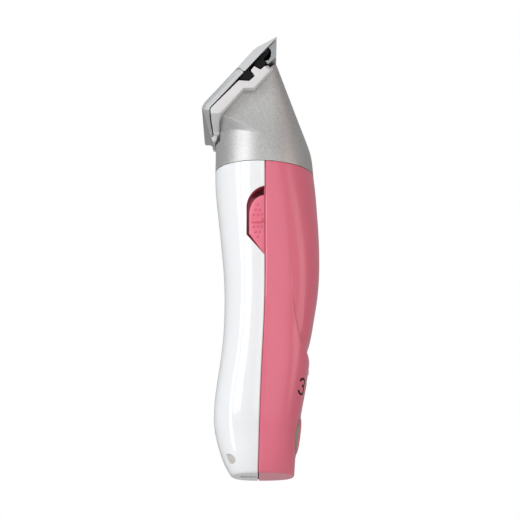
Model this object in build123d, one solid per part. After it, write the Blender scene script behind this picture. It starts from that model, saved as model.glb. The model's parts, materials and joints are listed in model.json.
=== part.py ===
from build123d import *
import math
import os

# ---------------------------------------------------------------- dimensions
# Cordless pet clipper, millimetres. It stands on its base: base plane Z = 0,
# +Z up the handle, +X the control side, -X the outer face of the blade.

WALL = 2.0                 # handle shell wall
FIT = 0.2                  # assembly gap between fixed pieces
BLADE_W = 46.6             # width of the blade set and its cradle
CUTTER_W = 43.2            # width of the moving blade
HEAD_W = 39.2              # flat-to-flat width of the head casing
STROKE = 1.2               # moving blade travel each side of centre
RING_TILT = 2.45           # tilt of the head ring, degrees
BASE_Z, RING_Z = 0.0, 127.5

BLADE_ANGLE = 48.5         # blade plane above horizontal
BLADE_O = (-24.7, 151.3)   # lower outer corner of the blade plate (X, Z)

MOTOR_X, MOTOR_R = 3.0, 11.0
MOTOR_Z0, MOTOR_Z1 = 84.0, 115.5
CRANK = 0.7                # eccentric offset
PIVOT_Z = 142.0            # drive lever pivot height
FINGER_Z = 165.4           # drive lever finger height

CELL_X, CELL_R, CELL_Z0, CELL_L = -2.5, 9.2, 17.0, 65.0
BOARD_X, BOARD_T = 7.8, 1.4

DIAL_Z, DIAL_R, DIAL_TILT = 16.6, 8.7, 7.5
RING_PROUD = 0.35          # button ring above the front surface

# handle outline in the X-Z plane: (z, x) of the rear edge, front edge, seam,
# (z, half depth) and section exponents of the two halves
REAR = [(0, -13.0), (3, -15.0), (6, -16.5), (9.4, -17.7), (12.6, -18.7), (16, -19.5), (19, -20.1), (22.5, -20.4),
        (26, -20.4), (32, -20.0), (39, -19.1), (46, -18.05), (52.5, -17.25), (59, -16.65), (66, -16.35),
        (73, -16.25), (80, -16.4), (87, -16.85), (93, -17.4), (100, -18.1), (107, -18.85), (114, -19.6),
        (121, -20.25), (128, -20.4), (135, -20.3), (142, -20.2)]
FRONT = [(0, 12.2), (4.5, 12.5), (8, 12.7), (11, 12.9), (14.3, 13.3), (17.6, 13.75), (21, 14.3), (24.2, 14.85),
         (27.5, 15.5), (31, 16.1), (34, 16.65), (37.5, 17.25), (41, 17.85), (44, 18.4), (46, 18.55), (47.6, 18.45),
         (49.3, 18.15), (51.7, 17.7), (53.5, 18.1), (56, 18.7), (59, 19.45), (62.6, 20.2), (66, 20.8), (69.4, 21.4),
         (73, 22.0), (76.5, 22.4), (80, 22.7), (86, 23.0), (90, 23.05), (97, 22.95), (104, 22.65), (111, 22.2),
         (118, 21.75), (125, 21.1), (128, 20.75), (135, 20.2), (142, 18.2)]
SEAM = [(0, -2.35), (8, -2.1), (16, -1.87), (24, -1.62), (32, -1.34), (40, -1.0), (49, -0.57), (57, -0.15),
        (65, 0.18), (74, 0.4), (84, 0.5), (142, 0.52)]
DEPTH = [(0, 11.0), (4, 12.8), (8, 14.1), (15, 15.5), (22, 16.5), (30, 17.0), (40, 17.4), (52, 17.6), (65, 17.9),
         (80, 18.7), (95, 19.6), (110, 20.5), (120, 21.1), (128, 21.4), (135, 21.3), (142, 20.8)]
EXP_R = [(0, 2.5), (10, 3.2), (45, 3.3), (60, 2.9), (90, 2.6), (110, 2.3), (128, 2.05), (142, 2.05)]
EXP_L = [(0, 2.5), (15, 2.3), (60, 2.2), (128, 2.05), (142, 2.05)]


def curve(table):
    """Cubic Hermite curve through (z, value) points."""
    zs = [p[0] for p in table]
    vs = [p[1] for p in table]
    n = len(zs)
    d = [(vs[i + 1] - vs[i]) / (zs[i + 1] - zs[i]) for i in range(n - 1)]
    m = [d[0]]
    for i in range(1, n - 1):
        m.append(0.0 if d[i - 1] * d[i] <= 0 else 2 * d[i - 1] * d[i] / (d[i - 1] + d[i]))
    m.append(d[-1])

    def f(z):
        z = min(max(z, zs[0]), zs[-1])
        i = 0
        while i < n - 2 and z > zs[i + 1]:
            i += 1
        h = zs[i + 1] - zs[i]
        t = (z - zs[i]) / h
        return ((2 * t**3 - 3 * t**2 + 1) * vs[i] + (t**3 - 2 * t**2 + t) * h * m[i]
                + (-2 * t**3 + 3 * t**2) * vs[i + 1] + (t**3 - t**2) * h * m[i + 1])
    return f


rear, front, seam, depth = curve(REAR), curve(FRONT), curve(SEAM), curve(DEPTH)
exp_r, exp_l = curve(EXP_R), curve(EXP_L)


def ring_wire(z, xl, xs, xr, yd, pl, pr, count=24):
    """Closed superellipse-like section, its two halves meeting at x = xs."""
    pts = []
    for i in range(count):
        t = 2 * math.pi * i / count
        c, s = math.cos(t), math.sin(t)
        p = pr if c >= 0 else pl
        a = (xr - xs) if c >= 0 else (xs - xl)
        pts.append(Vector(xs + a * math.copysign(abs(c) ** (2 / p), c), yd * math.copysign(abs(s) ** (2 / p), s), z))
    return Wire([Edge.make_spline(pts, periodic=True)])


def handle_wire(z, inset, at=None):
    zz = z if at is None else at
    return ring_wire(z, rear(zz) + inset, seam(zz), front(zz) - inset, depth(zz) - inset, exp_l(zz), exp_r(zz))


def loft(wires):
    return Solid.make_loft(wires, ruled=True)


def prism(pts, y0, y1):
    """Polygon in X-Z pushed from y0 to y1."""
    poly = Wire.make_polygon([Vector(x, y0, z) for x, z in pts], close=True)
    return Solid.extrude(Face(poly), Vector(0, y1 - y0, 0))


def box(x0, x1, y0, y1, z0, z1):
    return Pos((x0 + x1) / 2, (y0 + y1) / 2, (z0 + z1) / 2) * Box(x1 - x0, y1 - y0, z1 - z0)


def cyl(p0, p1, r):
    """Cylinder between two points."""
    a, b = Vector(*p0), Vector(*p1)
    d = b - a
    pl = Plane(origin=a, z_dir=d.normalized())
    return pl * Cylinder(r, d.length, align=(Align.CENTER, Align.CENTER, Align.MIN))


def cone(p0, p1, r0, r1):
    a, b = Vector(*p0), Vector(*p1)
    d = b - a
    pl = Plane(origin=a, z_dir=d.normalized())
    return pl * Cone(r0, r1, d.length, align=(Align.CENTER, Align.CENTER, Align.MIN))


def turned(p0, direction, profile):
    """Solid of revolution: profile is (distance along, radius) from p0 along direction."""
    pl = Plane(origin=Vector(*p0), z_dir=Vector(*direction).normalized())
    pts = [(0.0, profile[0][0])] + [(r, d) for d, r in profile] + [(0.0, profile[-1][0])]
    wire = Wire.make_polygon([pl.from_local_coords(Vector(r, 0, d)) for r, d in pts], close=True)
    return Solid.revolve(Face(wire), 360, Axis(pl.origin, pl.z_dir))


CA, SA = math.cos(math.radians(BLADE_ANGLE)), math.sin(math.radians(BLADE_ANGLE))


def bl(s, n):
    """Blade-plane coordinates (s up the blade, n outward) to (x, z)."""
    return (BLADE_O[0] + s * CA - n * SA, BLADE_O[1] + s * SA + n * CA)


def bprism(pts, y0, y1):
    return prism([bl(s, n) for s, n in pts], y0, y1)


def b3(s, n, y):
    x, z = bl(s, n)
    return (x, y, z)


def solids_of(shape):
    return shape.solids()


NODES = {}


def keep(name, *shapes, count=1):
    """Store a node; its solids are kept separate."""
    out = []
    for sh in shapes:
        out += list(sh.solids())
    out = [s for s in out if s.volume > 0.02]
    if len(out) != count:
        print("NOTE", name, "has", len(out), "solids, expected", count, [round(s.volume, 2) for s in out])
    NODES[name] = out


# ------------------------------------------------------------ ring and seam
ring_cut = Pos(0, 0, RING_Z) * Rot(0, RING_TILT, 0)
below_ring = ring_cut * box(-60, 60, -60, 60, -200, 0)
above_ring = ring_cut * box(-60, 60, -60, 60, 0, 120)

seam_pts = [(seam(max(z, 0)), z) for z in (-8, 0, 16, 32, 49, 65, 84, 140)]
rear_side = prism([(-60, -8)] + seam_pts + [(-60, 140)], -40, 40)
front_side = prism([(60, -8)] + seam_pts + [(60, 140)], -40, 40)

# --------------------------------------------------------------- handle shell
ZS = [0, 0.8, 4, 9.4, 15, 22.5, 31, 39, 46.5, 49.5, 51.7, 55, 61, 70, 80, 92, 106, 118, 130]
outer = loft([handle_wire(z, 0.9 if z == 0 else 0.0, at=z) for z in ZS])
ZI = [2.2, 9, 18, 28, 40, 50, 60, 75, 92, 110, 132]
inner = loft([handle_wire(z, WALL, at=z) for z in ZI])
tube = (outer & below_ring) - inner

rear_cover = tube & rear_side
front_cover = tube & front_side

# switch recess: D-shaped opening in the rear half, beside the seam
RX = 0.52


def d_outline(top, tip, left, ytop, ybot, right):
    arc = []
    cx, rx, rz = right, right - left, top - ytop
    for i in range(0, 9):
        a = math.pi / 2 * i / 8
        arc.append((cx - rx * math.sin(a), ytop + rz * math.cos(a)))
    return arc + [(left, ybot), (right, tip)]


recess = prism(d_outline(116.7, 86.2, -6.9, 108.0, 96.8, RX), -26, -10)
rear_cover = rear_cover - recess

# case screw bosses, low in the handle
SCREW_Y, SCREW_Z = 9.0, 6.0
xs0 = seam(SCREW_Z)
low = loft([handle_wire(z, 0.6, at=z) for z in (1, 6, 12)])
mid = loft([handle_wire(z, 0.9, at=z) for z in (24, 38, 50, 62)])
for sy in (-1, 1):
    y = sy * SCREW_Y
    bw = cyl((-22, y, SCREW_Z), (xs0 - 0.25, y, SCREW_Z), 3.6) & low
    rear_cover = rear_cover + bw
    bp = cyl((xs0 + 0.25, y, SCREW_Z), (8.2, y, SCREW_Z), 3.0) & low
    front_cover = front_cover + bp
for sy in (-1, 1):
    y = sy * SCREW_Y
    rear_cover = rear_cover - cyl((-24, y, SCREW_Z), (-7.5, y, SCREW_Z), 2.5) - cyl((-8, y, SCREW_Z), (0, y, SCREW_Z), 1.3)
    front_cover = front_cover - cyl((-4, y, SCREW_Z), (5.2, y, SCREW_Z), 1.2)

# charge socket opening in the base of the rear half
SOCK = (-9.3, -2.9, -2.5, 2.5)
rear_cover = rear_cover - box(SOCK[0], SOCK[1], SOCK[2], SOCK[3], -2, 4)

# board bosses inside the front half
for (y, z) in ((6.5, 30.0), (-6.5, 56.0)):
    boss = (cyl((BOARD_X + BOARD_T, y, z), (24, y, z), 2.5) & mid) - cyl((0, y, z), (BOARD_X + BOARD_T + 5, y, z), 1.0)
    front_cover = front_cover + boss

# round speed button opening
da = math.radians(DIAL_TILT)
DU = Vector(math.cos(da), 0, -math.sin(da))              # outward axis of the button
DP = Vector(front(DIAL_Z), 0, DIAL_Z)                    # point on the front surface


def dial(r, d0, d1):
    a, b = DP + DU * d0, DP + DU * d1
    return cyl((a.X, a.Y, a.Z), (b.X, b.Y, b.Z), r)


front_cover = front_cover - dial(DIAL_R + 0.1, -6, 8)
# indicator light opening
LIGHT_Z = 43.0
front_cover = front_cover - cyl((8, 0, LIGHT_Z), (24, 0, LIGHT_Z), 1.1)

keep("rear_cover", rear_cover)
keep("front_cover", front_cover)

keep("case_screws", *[(cyl((-9.3, y, SCREW_Z), (-7.5, y, SCREW_Z), 2.2) + cyl((-7.5, y, SCREW_Z), (4.6, y, SCREW_Z), 1.19))
                      - box(-9.5, -8.4, y - 1.3, y + 1.3, SCREW_Z - 0.25, SCREW_Z + 0.25)
                      - box(-9.5, -8.4, y - 0.25, y + 0.25, SCREW_Z - 1.3, SCREW_Z + 1.3) for y in (-SCREW_Y, SCREW_Y)], count=2)
keep("screw_plugs", *[cyl((-11.9, y, SCREW_Z), (-10.2, y, SCREW_Z), 2.45) for y in (-SCREW_Y, SCREW_Y)], count=2)

# --------------------------------------------------------------- charge socket
sock = box(SOCK[0] - 1.0, SOCK[1] + 0.4, SOCK[2] - 1.0, SOCK[3] + 1.0, 2.3, 9.0) - box(SOCK[0], SOCK[1], SOCK[2], SOCK[3], 2.0, 7.2)
pins = [(-7.8, 0.0), (-4.4, 0.0)]
for (x, y) in pins:
    sock = sock - cyl((x, y, 6), (x, y, 10), 0.6)
keep("charge_socket", sock)
keep("charge_contacts", *[cyl((x, y, 5.9), (x, y, 10.6), 0.6) for (x, y) in pins], count=2)

# ------------------------------------------------------------- battery group
cell = cyl((CELL_X, 0, CELL_Z0), (CELL_X, 0, CELL_Z0 + CELL_L - 1.6), CELL_R)
cell = cell.fillet(0.7, cell.edges().filter_by(GeomType.CIRCLE))
cell = cell + cyl((CELL_X, 0, CELL_Z0 + CELL_L - 1.7), (CELL_X, 0, CELL_Z0 + CELL_L), 3.1)
keep("battery_cell", cell)
cr = cyl((CELL_X, 0, 13.6), (CELL_X, 0, 83.4), 11.1) - cyl((CELL_X, 0, 12), (CELL_X, 0, 90), CELL_R + 0.15)
cr = cr & box(-40, CELL_X - 1.5, -30, 30, 0, 100)
for z in (28, 40, 52, 64):
    cr = cr - box(-40, CELL_X - 6, -4.5, 4.5, z, z + 7)
floor = (cyl((CELL_X, 0, 12.2), (CELL_X, 0, 13.6), 11.1) & box(-40, CELL_X + 5, -30, 30, 0, 100))
cr = cr + floor
keep("battery_cradle", cr)
sp = cyl((CELL_X, 0, 13.6), (CELL_X, 0, 14.1), 6.0) + (cone((CELL_X, 0, 14.1), (CELL_X, 0, 17.0), 4.6, 3.0)
                                                     - cone((CELL_X, 0, 14.1), (CELL_X, 0, 17.0), 4.0, 2.4))
keep("battery_contact_bottom", sp)
ct = box(CELL_X - 5, CELL_X + 5, -4, 4, 82.0, 82.6) + box(CELL_X + 5, CELL_X + 5.6, -2, 2, 76, 82.6)
ct = ct - box(CELL_X + 4.9, CELL_X + 5.7, -3, 3, 70, 81.0)
keep("battery_contact_top", ct)

# ------------------------------------------------------------- control board
board = box(BOARD_X, BOARD_X + BOARD_T, -8.2, 8.2, 10.8, 62.0)
for (y, z) in ((6.5, 30.0), (-6.5, 56.0)):
    board = board - cyl((0, y, z), (20, y, z), 1.15)
keep("control_board", board)
keep("board_screws", *[(cyl((BOARD_X - 1.4, y, z), (BOARD_X, y, z), 1.9) + cyl((BOARD_X, y, z), (BOARD_X + 5.6, y, z), 0.98))
                       - box(BOARD_X - 1.6, BOARD_X - 0.8, y - 1.1, y + 1.1, z - 0.2, z + 0.2)
                       for (y, z) in ((6.5, 30.0), (-6.5, 56.0))], count=2)
keep("control_chips",
     box(BOARD_X + BOARD_T, BOARD_X + BOARD_T + 1.6, -3.5, 3.5, 34, 40),
     box(BOARD_X + BOARD_T, BOARD_X + BOARD_T + 1.1, -5.5, -1.0, 47.5, 52),
     cyl((BOARD_X + BOARD_T, 4.5, 50), (BOARD_X + BOARD_T + 4.5, 4.5, 50), 2.4), count=3)
lz = cyl((BOARD_X + BOARD_T + 1.0, 0, LIGHT_Z), (front(LIGHT_Z) + 0.15, 0, LIGHT_Z), 0.95)
keep("indicator_light", lz, box(BOARD_X + BOARD_T, BOARD_X + BOARD_T + 0.9, -0.9, 0.9, LIGHT_Z - 0.7, LIGHT_Z + 0.7), count=2)

# -------------------------------------------------------------- speed button
bez = dial(DIAL_R, -2.6, RING_PROUD) - dial(DIAL_R - 1.15, -4, 3)
bez = bez.fillet(0.12, bez.edges().filter_by(GeomType.CIRCLE).sort_by(Axis((0, 0, 0), (DU.X, 0, DU.Z)))[-2:])
keep("button_bezel", bez)
R_B = DIAL_R - 1.35
btn = turned((DP.X, DP.Y, DP.Z), (DU.X, DU.Y, DU.Z),
             [(-2.9, 1.5), (-1.4, 1.5), (-1.4, R_B), (0.35, R_B), (0.6, R_B - 0.35), (0.85, R_B - 1.4), (1.03, R_B - 2.9), (1.12, R_B - 4.7), (1.15, 1.2)])
keep("speed_button", btn)
keep("tact_plunger", dial(1.5, -3.6, -2.9))
PX = BOARD_X + BOARD_T
tact = box(PX, PX + 1.15, -3, 3, DIAL_Z - 2.4, DIAL_Z + 3.6)
tact = tact - dial(1.7, -6, 0)
keep("tact_switch", tact)

# -------------------------------------------------------------- power switch
SW = 2.4                                                  # slide travel, up
btn_shape = prism(d_outline(113.0, 87.7, -6.1, 105.0, 97.2, 0.3), -26, -14.3)
skin = loft([handle_wire(z, 0.25, at=z) for z in (80, 92, 106, 118)])
pbtn = btn_shape & skin
flange = box(-7.5, 3.0, -14.3, -13.1, 86.8, 113.4)
bar = prism([(-5.2, 101.5), (-0.4, 101.5), (-0.4, 102.9), (-5.2, 102.9)], -26, -16) & loft(
    [handle_wire(z, -0.15, at=z) for z in (95, 102, 109)])
keep("power_button", pbtn + flange + bar)
swb = box(-8.6, -3.4, -12.9, -9.4, 95.5, 106.5) - box(-7.4, -4.6, -14, -11.0, 97.6, 103.8)
keep("power_switch_body", swb)
keep("power_switch_slider", box(-7.1, -4.9, -13.1, -11.2, 98.2, 100.6))

# --------------------------------------------------------------- motor group
can = cyl((MOTOR_X, 0, MOTOR_Z0 + 3), (MOTOR_X, 0, MOTOR_Z1), MOTOR_R)
can = can.fillet(1.0, can.edges().filter_by(GeomType.CIRCLE).sort_by(Axis.Z)[-1:])
can = can - cyl((MOTOR_X, 0, MOTOR_Z0), (MOTOR_X, 0, MOTOR_Z1 - 1.2), MOTOR_R - 1.1)
can = can + (cyl((MOTOR_X, 0, MOTOR_Z1 - 1.2), (MOTOR_X, 0, MOTOR_Z1 + 2.2), 3.0))
can = can - cyl((MOTOR_X, 0, 80), (MOTOR_X, 0, 130), 1.05)
for sy in (-1, 1):
    can = can - cyl((MOTOR_X, sy * 7.5, 110), (MOTOR_X, sy * 7.5, 120), 0.9)
keep("motor_can", can)
cap = cyl((MOTOR_X, 0, MOTOR_Z0), (MOTOR_X, 0, MOTOR_Z0 + 3), MOTOR_R) - cyl((MOTOR_X, 0, MOTOR_Z0 + 1.5), (MOTOR_X, 0, 100), 1.05)
for sy in (-1, 1):
    cap = cap - box(MOTOR_X - 1.2, MOTOR_X + 1.2, sy * 7.5 - 0.35, sy * 7.5 + 0.35, 80, 90)
keep("motor_end_cap", cap)
keep("motor_terminals", *[box(MOTOR_X - 1.2, MOTOR_X + 1.2, sy * 7.5 - 0.3, sy * 7.5 + 0.3, 80.5, 86.5) for sy in (-1, 1)], count=2)
mag = cyl((MOTOR_X, 0, 89), (MOTOR_X, 0, 111), MOTOR_R - 1.15) - cyl((MOTOR_X, 0, 80), (MOTOR_X, 0, 120), 8.3)
mag = mag - box(-20, 20, -4, 4, 80, 120)
keep("motor_magnets", mag, count=2)
rot = cyl((MOTOR_X, 0, 91), (MOTOR_X, 0, 109), 7.9) - cyl((MOTOR_X, 0, 80), (MOTOR_X, 0, 120), 1.0)
for k in range(5):
    a = 2 * math.pi * (k + 0.5) / 5
    slot = Pos(MOTOR_X, 0, 100) * Rot(0, 0, math.degrees(a)) * Pos(6.4, 0, 0) * Box(4.4, 1.6, 20)
    rot = rot - slot
rot = rot + (cyl((MOTOR_X, 0, 87.6), (MOTOR_X, 0, 91), 3.0) - cyl((MOTOR_X, 0, 80), (MOTOR_X, 0, 120), 1.0))
keep("motor_rotor", rot)
keep("motor_shaft", cyl((MOTOR_X, 0, 85.6), (MOTOR_X, 0, 125.0), 1.0))
ecc = (cyl((MOTOR_X, 0, 120.6), (MOTOR_X, 0, 125.6), 3.6) + cyl((MOTOR_X + CRANK, 0, 125.6), (MOTOR_X + CRANK, 0, 130.6), 1.5)
       - cyl((MOTOR_X, 0, 119), (MOTOR_X, 0, 125.0), 1.0))
ecc = ecc - (cyl((MOTOR_X, 0, 120), (MOTOR_X, 0, 123.4), 5) - cyl((MOTOR_X, 0, 119), (MOTOR_X, 0, 124), 2.6)) 
keep("eccentric_cam", ecc)
keep("motor_damper", cyl((MOTOR_X, 0, MOTOR_Z1), (MOTOR_X, 0, MOTOR_Z1 + 1), 9.6) - cyl((MOTOR_X, 0, 110), (MOTOR_X, 0, 120), 3.3)
     - cyl((MOTOR_X, 7.5, 110), (MOTOR_X, 7.5, 120), 1.3) - cyl((MOTOR_X, -7.5, 110), (MOTOR_X, -7.5, 120), 1.3))
BZ0, BZ1 = MOTOR_Z1 + 1.0, MOTOR_Z1 + 4.0                 # bracket plate
BR_IN = WALL + 0.6
plate = loft([handle_wire(z, BR_IN, at=z) for z in (BZ0, BZ1)])
sleeve = loft([handle_wire(z, BR_IN, at=z) for z in (BZ1, 130.6)]) - loft(
    [handle_wire(z, BR_IN + 1.5, at=z) for z in (BZ1, 132)])
brk = plate + sleeve
for x0 in (-3.2, 7.4):
    brk = brk + box(x0, x0 + 1.8, -3.8, 3.8, BZ1 - 0.5, PIVOT_Z) + cyl((x0, 0, PIVOT_Z), (x0 + 1.8, 0, PIVOT_Z), 4.2)
for sy in (-1, 1):
    lug = box(MOTOR_X - 3.5, MOTOR_X + 3.5, sy * 15.8 - 3.2, sy * 15.8 + 3.2, 123.6, 126.6) & loft(
        [handle_wire(z, BR_IN + 0.7, at=z) for z in (122, 130)])
    brk = brk + lug
    brk = brk - cyl((MOTOR_X, sy * 14.6, 110), (MOTOR_X, sy * 14.6, 130), 1.35)
    brk = brk - cyl((MOTOR_X, sy * 7.5, 110), (MOTOR_X, sy * 7.5, 125), 1.1)
brk = brk - cyl((MOTOR_X, 0, 110), (MOTOR_X, 0, 125), 3.05) - cyl((-6, 0, PIVOT_Z), (12, 0, PIVOT_Z), 1.5)
brk = brk - cyl((MOTOR_X, -14.6, 110), (MOTOR_X, -14.6, 123.6), 2.6) - cyl((MOTOR_X, 14.6, 110), (MOTOR_X, 14.6, 123.6), 2.6)
brk = brk - box(-30, -16.3, -12, 12, 127.4, 133)           # clear of the hinge wall and the head's screw posts
for sy in (-1, 1):
    brk = brk - cyl((MOTOR_X, sy * 14.6, 127.2), (MOTOR_X, sy * 14.6, 133), 2.85)
keep("motor_bracket", brk)
keep("motor_screws", *[cyl((MOTOR_X, sy * 7.5, BZ1), (MOTOR_X, sy * 7.5, BZ1 + 1.3), 1.8) + cyl((MOTOR_X, sy * 7.5, 114.5), (MOTOR_X, sy * 7.5, BZ1), 0.88)
                       for sy in (-1, 1)], count=2)

# --------------------------------------------------------------- drive lever
LX = MOTOR_X
lev = cyl((LX - 4.2, 0, PIVOT_Z), (LX + 4.2, 0, PIVOT_Z), 4.0)
lev = lev + box(LX - 2.6, LX + 2.6, -5.6, 5.6, 131.6, 136.0) + box(LX - 2.6, LX + 2.6, -3.2, 3.2, 134, PIVOT_Z)
for sy in (-1, 1):
    lev = lev + box(LX - 2.6, LX + 2.6, min(sy * 3.2, sy * 5.6), max(sy * 3.2, sy * 5.6), 126.6, 134)
arm = Polygon((-2.6, PIVOT_Z), (2.6, PIVOT_Z), (1.1, 158.0), (1.1, FINGER_Z), (-1.1, FINGER_Z), (-1.1, 158.0), align=None)
arm = extrude(Plane(origin=(LX - 1.5, 0, 0), x_dir=(0, 1, 0), z_dir=(1, 0, 0)) * arm, amount=3.0)
lev = lev + arm + cyl((LX - 1.6, 0, FINGER_Z), (LX + 1.4, 0, FINGER_Z), 1.6)
lev = lev - cyl((LX - 10, 0, PIVOT_Z), (LX + 10, 0, PIVOT_Z), 2.4)
keep("drive_lever", lev)
keep("lever_bush", cyl((LX - 4.2, 0, PIVOT_Z), (LX + 4.2, 0, PIVOT_Z), 2.4) - cyl((LX - 10, 0, PIVOT_Z), (LX + 10, 0, PIVOT_Z), 1.55))
keep("lever_pivot_pin", cyl((-3.8, 0, PIVOT_Z), (9.8, 0, PIVOT_Z), 1.5))

# --------------------------------------------------------------- blade cradle
# stepped side profile of the cradle, in blade coordinates
CR_UP = [(1.6, -3.7), (11.5, -3.7), (17.2, -3.9), (19.9, -7.3), (23.3, -7.6), (23.8, -4.7), (26.1, -4.5), (26.7, -7.5),
         (30.8, -7.95), (30.8, -10.8)]
CR_LO = [(18.9, -10.8), (16.1, -7.7), (3.2, -7.7)]
HINGE = (-20.7, 141.5)                                    # blade hinge axis, X and Z
HINGE_R = 0.55
up = [bl(*p) for p in CR_UP]
lo = [bl(*p) for p in CR_LO]
HW = BLADE_W / 2
cradle_pts = [(-20.75, 150.7)] + up + lo + [(-18.6, 146.6), (-18.6, 142.95), (-20.85, 142.95), (-21.2, 144.0), (-21.9, 147.2), (-21.75, 149.0)]
cradle = prism(cradle_pts, -HW, HW)


def tail_mask(half):
    """Y-Z outline that narrows the tail towards its lower end; half lists (y, z) of the +Y flank, top first."""
    h = HW
    pts = [(-h, 190), (h, 190)] + half + [(-y, z) for y, z in reversed(half)]
    w = Wire.make_polygon([Vector(-60, y, z) for y, z in pts], close=True)
    return Solid.extrude(Face(w), Vector(140, 0, 0))


cradle = cradle & tail_mask([(HW, 147.2), (16.0, 145.3), (9.0, 144.0), (8.0, 142.0)])
cradle = cradle - bprism([(12.6, 4), (12.6, -14), (40, -14), (40, 4)], -11, 11)
# the ends of the two arms slope back to the head
for sy in (-1, 1):
    w = Wire.make_polygon([Vector(*b3(28.9, 2, sy * (HW + 0.01))), Vector(*b3(30.9, 2, sy * 20.6)), Vector(*b3(32.5, 2, sy * 20.6)),
                           Vector(*b3(32.5, 2, sy * (HW + 2))), Vector(*b3(28.9, 2, sy * (HW + 2)))], close=True)
    cradle = cradle - Solid.extrude(Face(w), Vector(SA * 20, 0, -CA * 20))
# two lugs that hold the hinge pin
for sy in (-1, 1):
    ya, yb = min(sy * 5.15, sy * 7.6), max(sy * 5.15, sy * 7.6)
    lug = cyl((HINGE[0], ya, HINGE[1]), (HINGE[0], yb, HINGE[1]), 1.05)
    lug = lug + prism([(-21.55, 141.5), (-19.8, 141.5), (-19.2, 143.3), (-20.95, 143.3)], ya, yb)
    cradle = cradle + lug
cradle = cradle - cyl((HINGE[0], -10, HINGE[1]), (HINGE[0], 10, HINGE[1]), HINGE_R)

# ---------------------------------------------------------------- head casing
HEAD_FRONT = [(120, 21.5), (128, 20.75), (132, 20.45), (135.5, 19.9), (138.5, 19.0), (142, 17.6), (146, 16.05), (151, 14.1),
              (157, 11.8), (162, 9.85), (167, 7.9), (172.4, 5.8), (176, 4.4)]
HEAD_HALF = [(120, 21.1), (128, 21.4), (132, 21.3), (137, 20.8), (143, 20.1), (150, HEAD_W / 2), (176, HEAD_W / 2 - 0.4)]
HEAD_EXP_R = [(120, 2.05), (135, 2.1), (145, 2.4), (155, 2.7), (165, 3.0), (176, 3.2)]
HEAD_EXP_L = [(120, 2.05), (134, 2.1), (138, 2.4), (142, 3.4), (147, 6.0), (152, 8.0), (176, 8.0)]
HEAD_REAR = [(120, -20.3), (128, -20.4), (135, -20.3), (176, -20.3)]
h_front, h_half, h_er, h_el, h_rear = (curve(HEAD_FRONT), curve(HEAD_HALF), curve(HEAD_EXP_R), curve(HEAD_EXP_L), curve(HEAD_REAR))


def head_wire(z, inset):
    return ring_wire(z, h_rear(z) + inset, min(0.52, h_front(z) - 6), h_front(z) - inset, h_half(z) - inset, h_el(z), h_er(z), count=32)


HZ = [122, 128, 132, 136, 140, 144, 148, 154, 164, 174]
head_outer = loft([head_wire(z, 0) for z in HZ]) & above_ring
# everything under the cradle and the apron beyond it
under = prism([(-40, 90), (-40, 143.4), (-18.55, 143.4), (-18.55, 146.55)] + list(reversed(lo)) + [bl(30.9, -10.82), bl(30.9, -8.9), bl(36.1, -9.0), (60, 150), (60, 90)],
              -40, 40)
head_outer = head_outer & under
head_outer = head_outer - box(-40, -18.3, -9.7, 9.7, 139.9, 143.5)          # pocket for the hinge
hin = loft([head_wire(z, WALL) for z in (122, 128, 134, 139, 143, 148, 156, 168)])
under_in = prism([(-16.6, 90), (-16.6, 145.2), bl(4.6, -9.7), bl(15.3, -9.7), bl(18.1, -12.8), bl(33.2, -12.8), (60, 130), (60, 90)], -40, 40)
hin = hin & under_in
head = head_outer - hin
head = head - bprism([(25.0, 0), (25.0, -14), (31.4, -14), (33.6, -11), (33.6, 0)], -7.2, 7.2)
head = head - bprism([(14.0, 0), (14.0, -14), (26.0, -14), (26.0, 0)], -10.8, 10.8)
for sy in (-1, 1):
    head = head + cyl((MOTOR_X, sy * 14.6, 127.7), (MOTOR_X, sy * 14.6, 139.5), 2.6)
    head = head + box(MOTOR_X - 2.0, MOTOR_X + 2.0, min(sy * 15.0, sy * 19.9), max(sy * 15.0, sy * 19.9), 131.4, 139)
    head = head - cyl((MOTOR_X, sy * 14.6, 120), (MOTOR_X, sy * 14.6, 136.5), 1.2)
keep("head_casing", head)
keep("head_screws", *[cyl((MOTOR_X, sy * 14.6, 121.6), (MOTOR_X, sy * 14.6, 123.6), 2.3) + cyl((MOTOR_X, sy * 14.6, 123.6), (MOTOR_X, sy * 14.6, 135.5), 1.19)
                      for sy in (-1, 1)], count=2)
keep("blade_cradle", cradle)

# ------------------------------------------------------------------ blade set
teeth_pitch, teeth_gap, n_slots = 1.76, 0.9, 26
fixed = bprism([(21.45, 0.0), (21.75, 0.3), (31.2, 0.4), (33.1, 0.2), (42.0, -2.95), (42.0, -3.05), (27.3, -3.05), (22.0, -3.05), (21.45, -2.6)], -HW, HW)
for k in range(n_slots):
    y = (k - (n_slots - 1) / 2) * teeth_pitch
    fixed = fixed - bprism([(33.6, 3), (33.6, -5), (44, -5), (44, 3)], y - teeth_gap / 2, y + teeth_gap / 2)
keep_fixed = fixed
base = prism([bl(21.35, 0.0), bl(21.05, 0.3), bl(0.6, 0.3), (-25.75, 149.7), (-21.7, 141.5), (-20.7, 141.5), (-20.95, 142.5), (-21.6, 143.6),
              (-22.45, 147.3), (-22.3, 149.1), (-21.25, 150.95), bl(1.6, -3.05), bl(21.05, -3.05), bl(21.35, -2.7)], -HW, HW)
base = base & tail_mask([(HW, 148.6), (16.0, 146.2), (8.6, 143.9), (7.9, 143.2), (5.0, 143.0), (5.0, 138.0)])
base = base + cyl((HINGE[0], -5.0, HINGE[1]), (HINGE[0], 5.0, HINGE[1]), 1.05)
base = base - cyl((HINGE[0], -6.0, HINGE[1]), (HINGE[0], 6.0, HINGE[1]), HINGE_R + 0.05)
keep("blade_hinge_pin", cyl((HINGE[0], -7.5, HINGE[1]), (HINGE[0], 7.5, HINGE[1]), HINGE_R))
SCR = [(24.3, 8.0), (24.3, -8.0), (16.5, 8.0), (16.5, -8.0)]
NAX = Vector(-SA, 0, CA)
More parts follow.
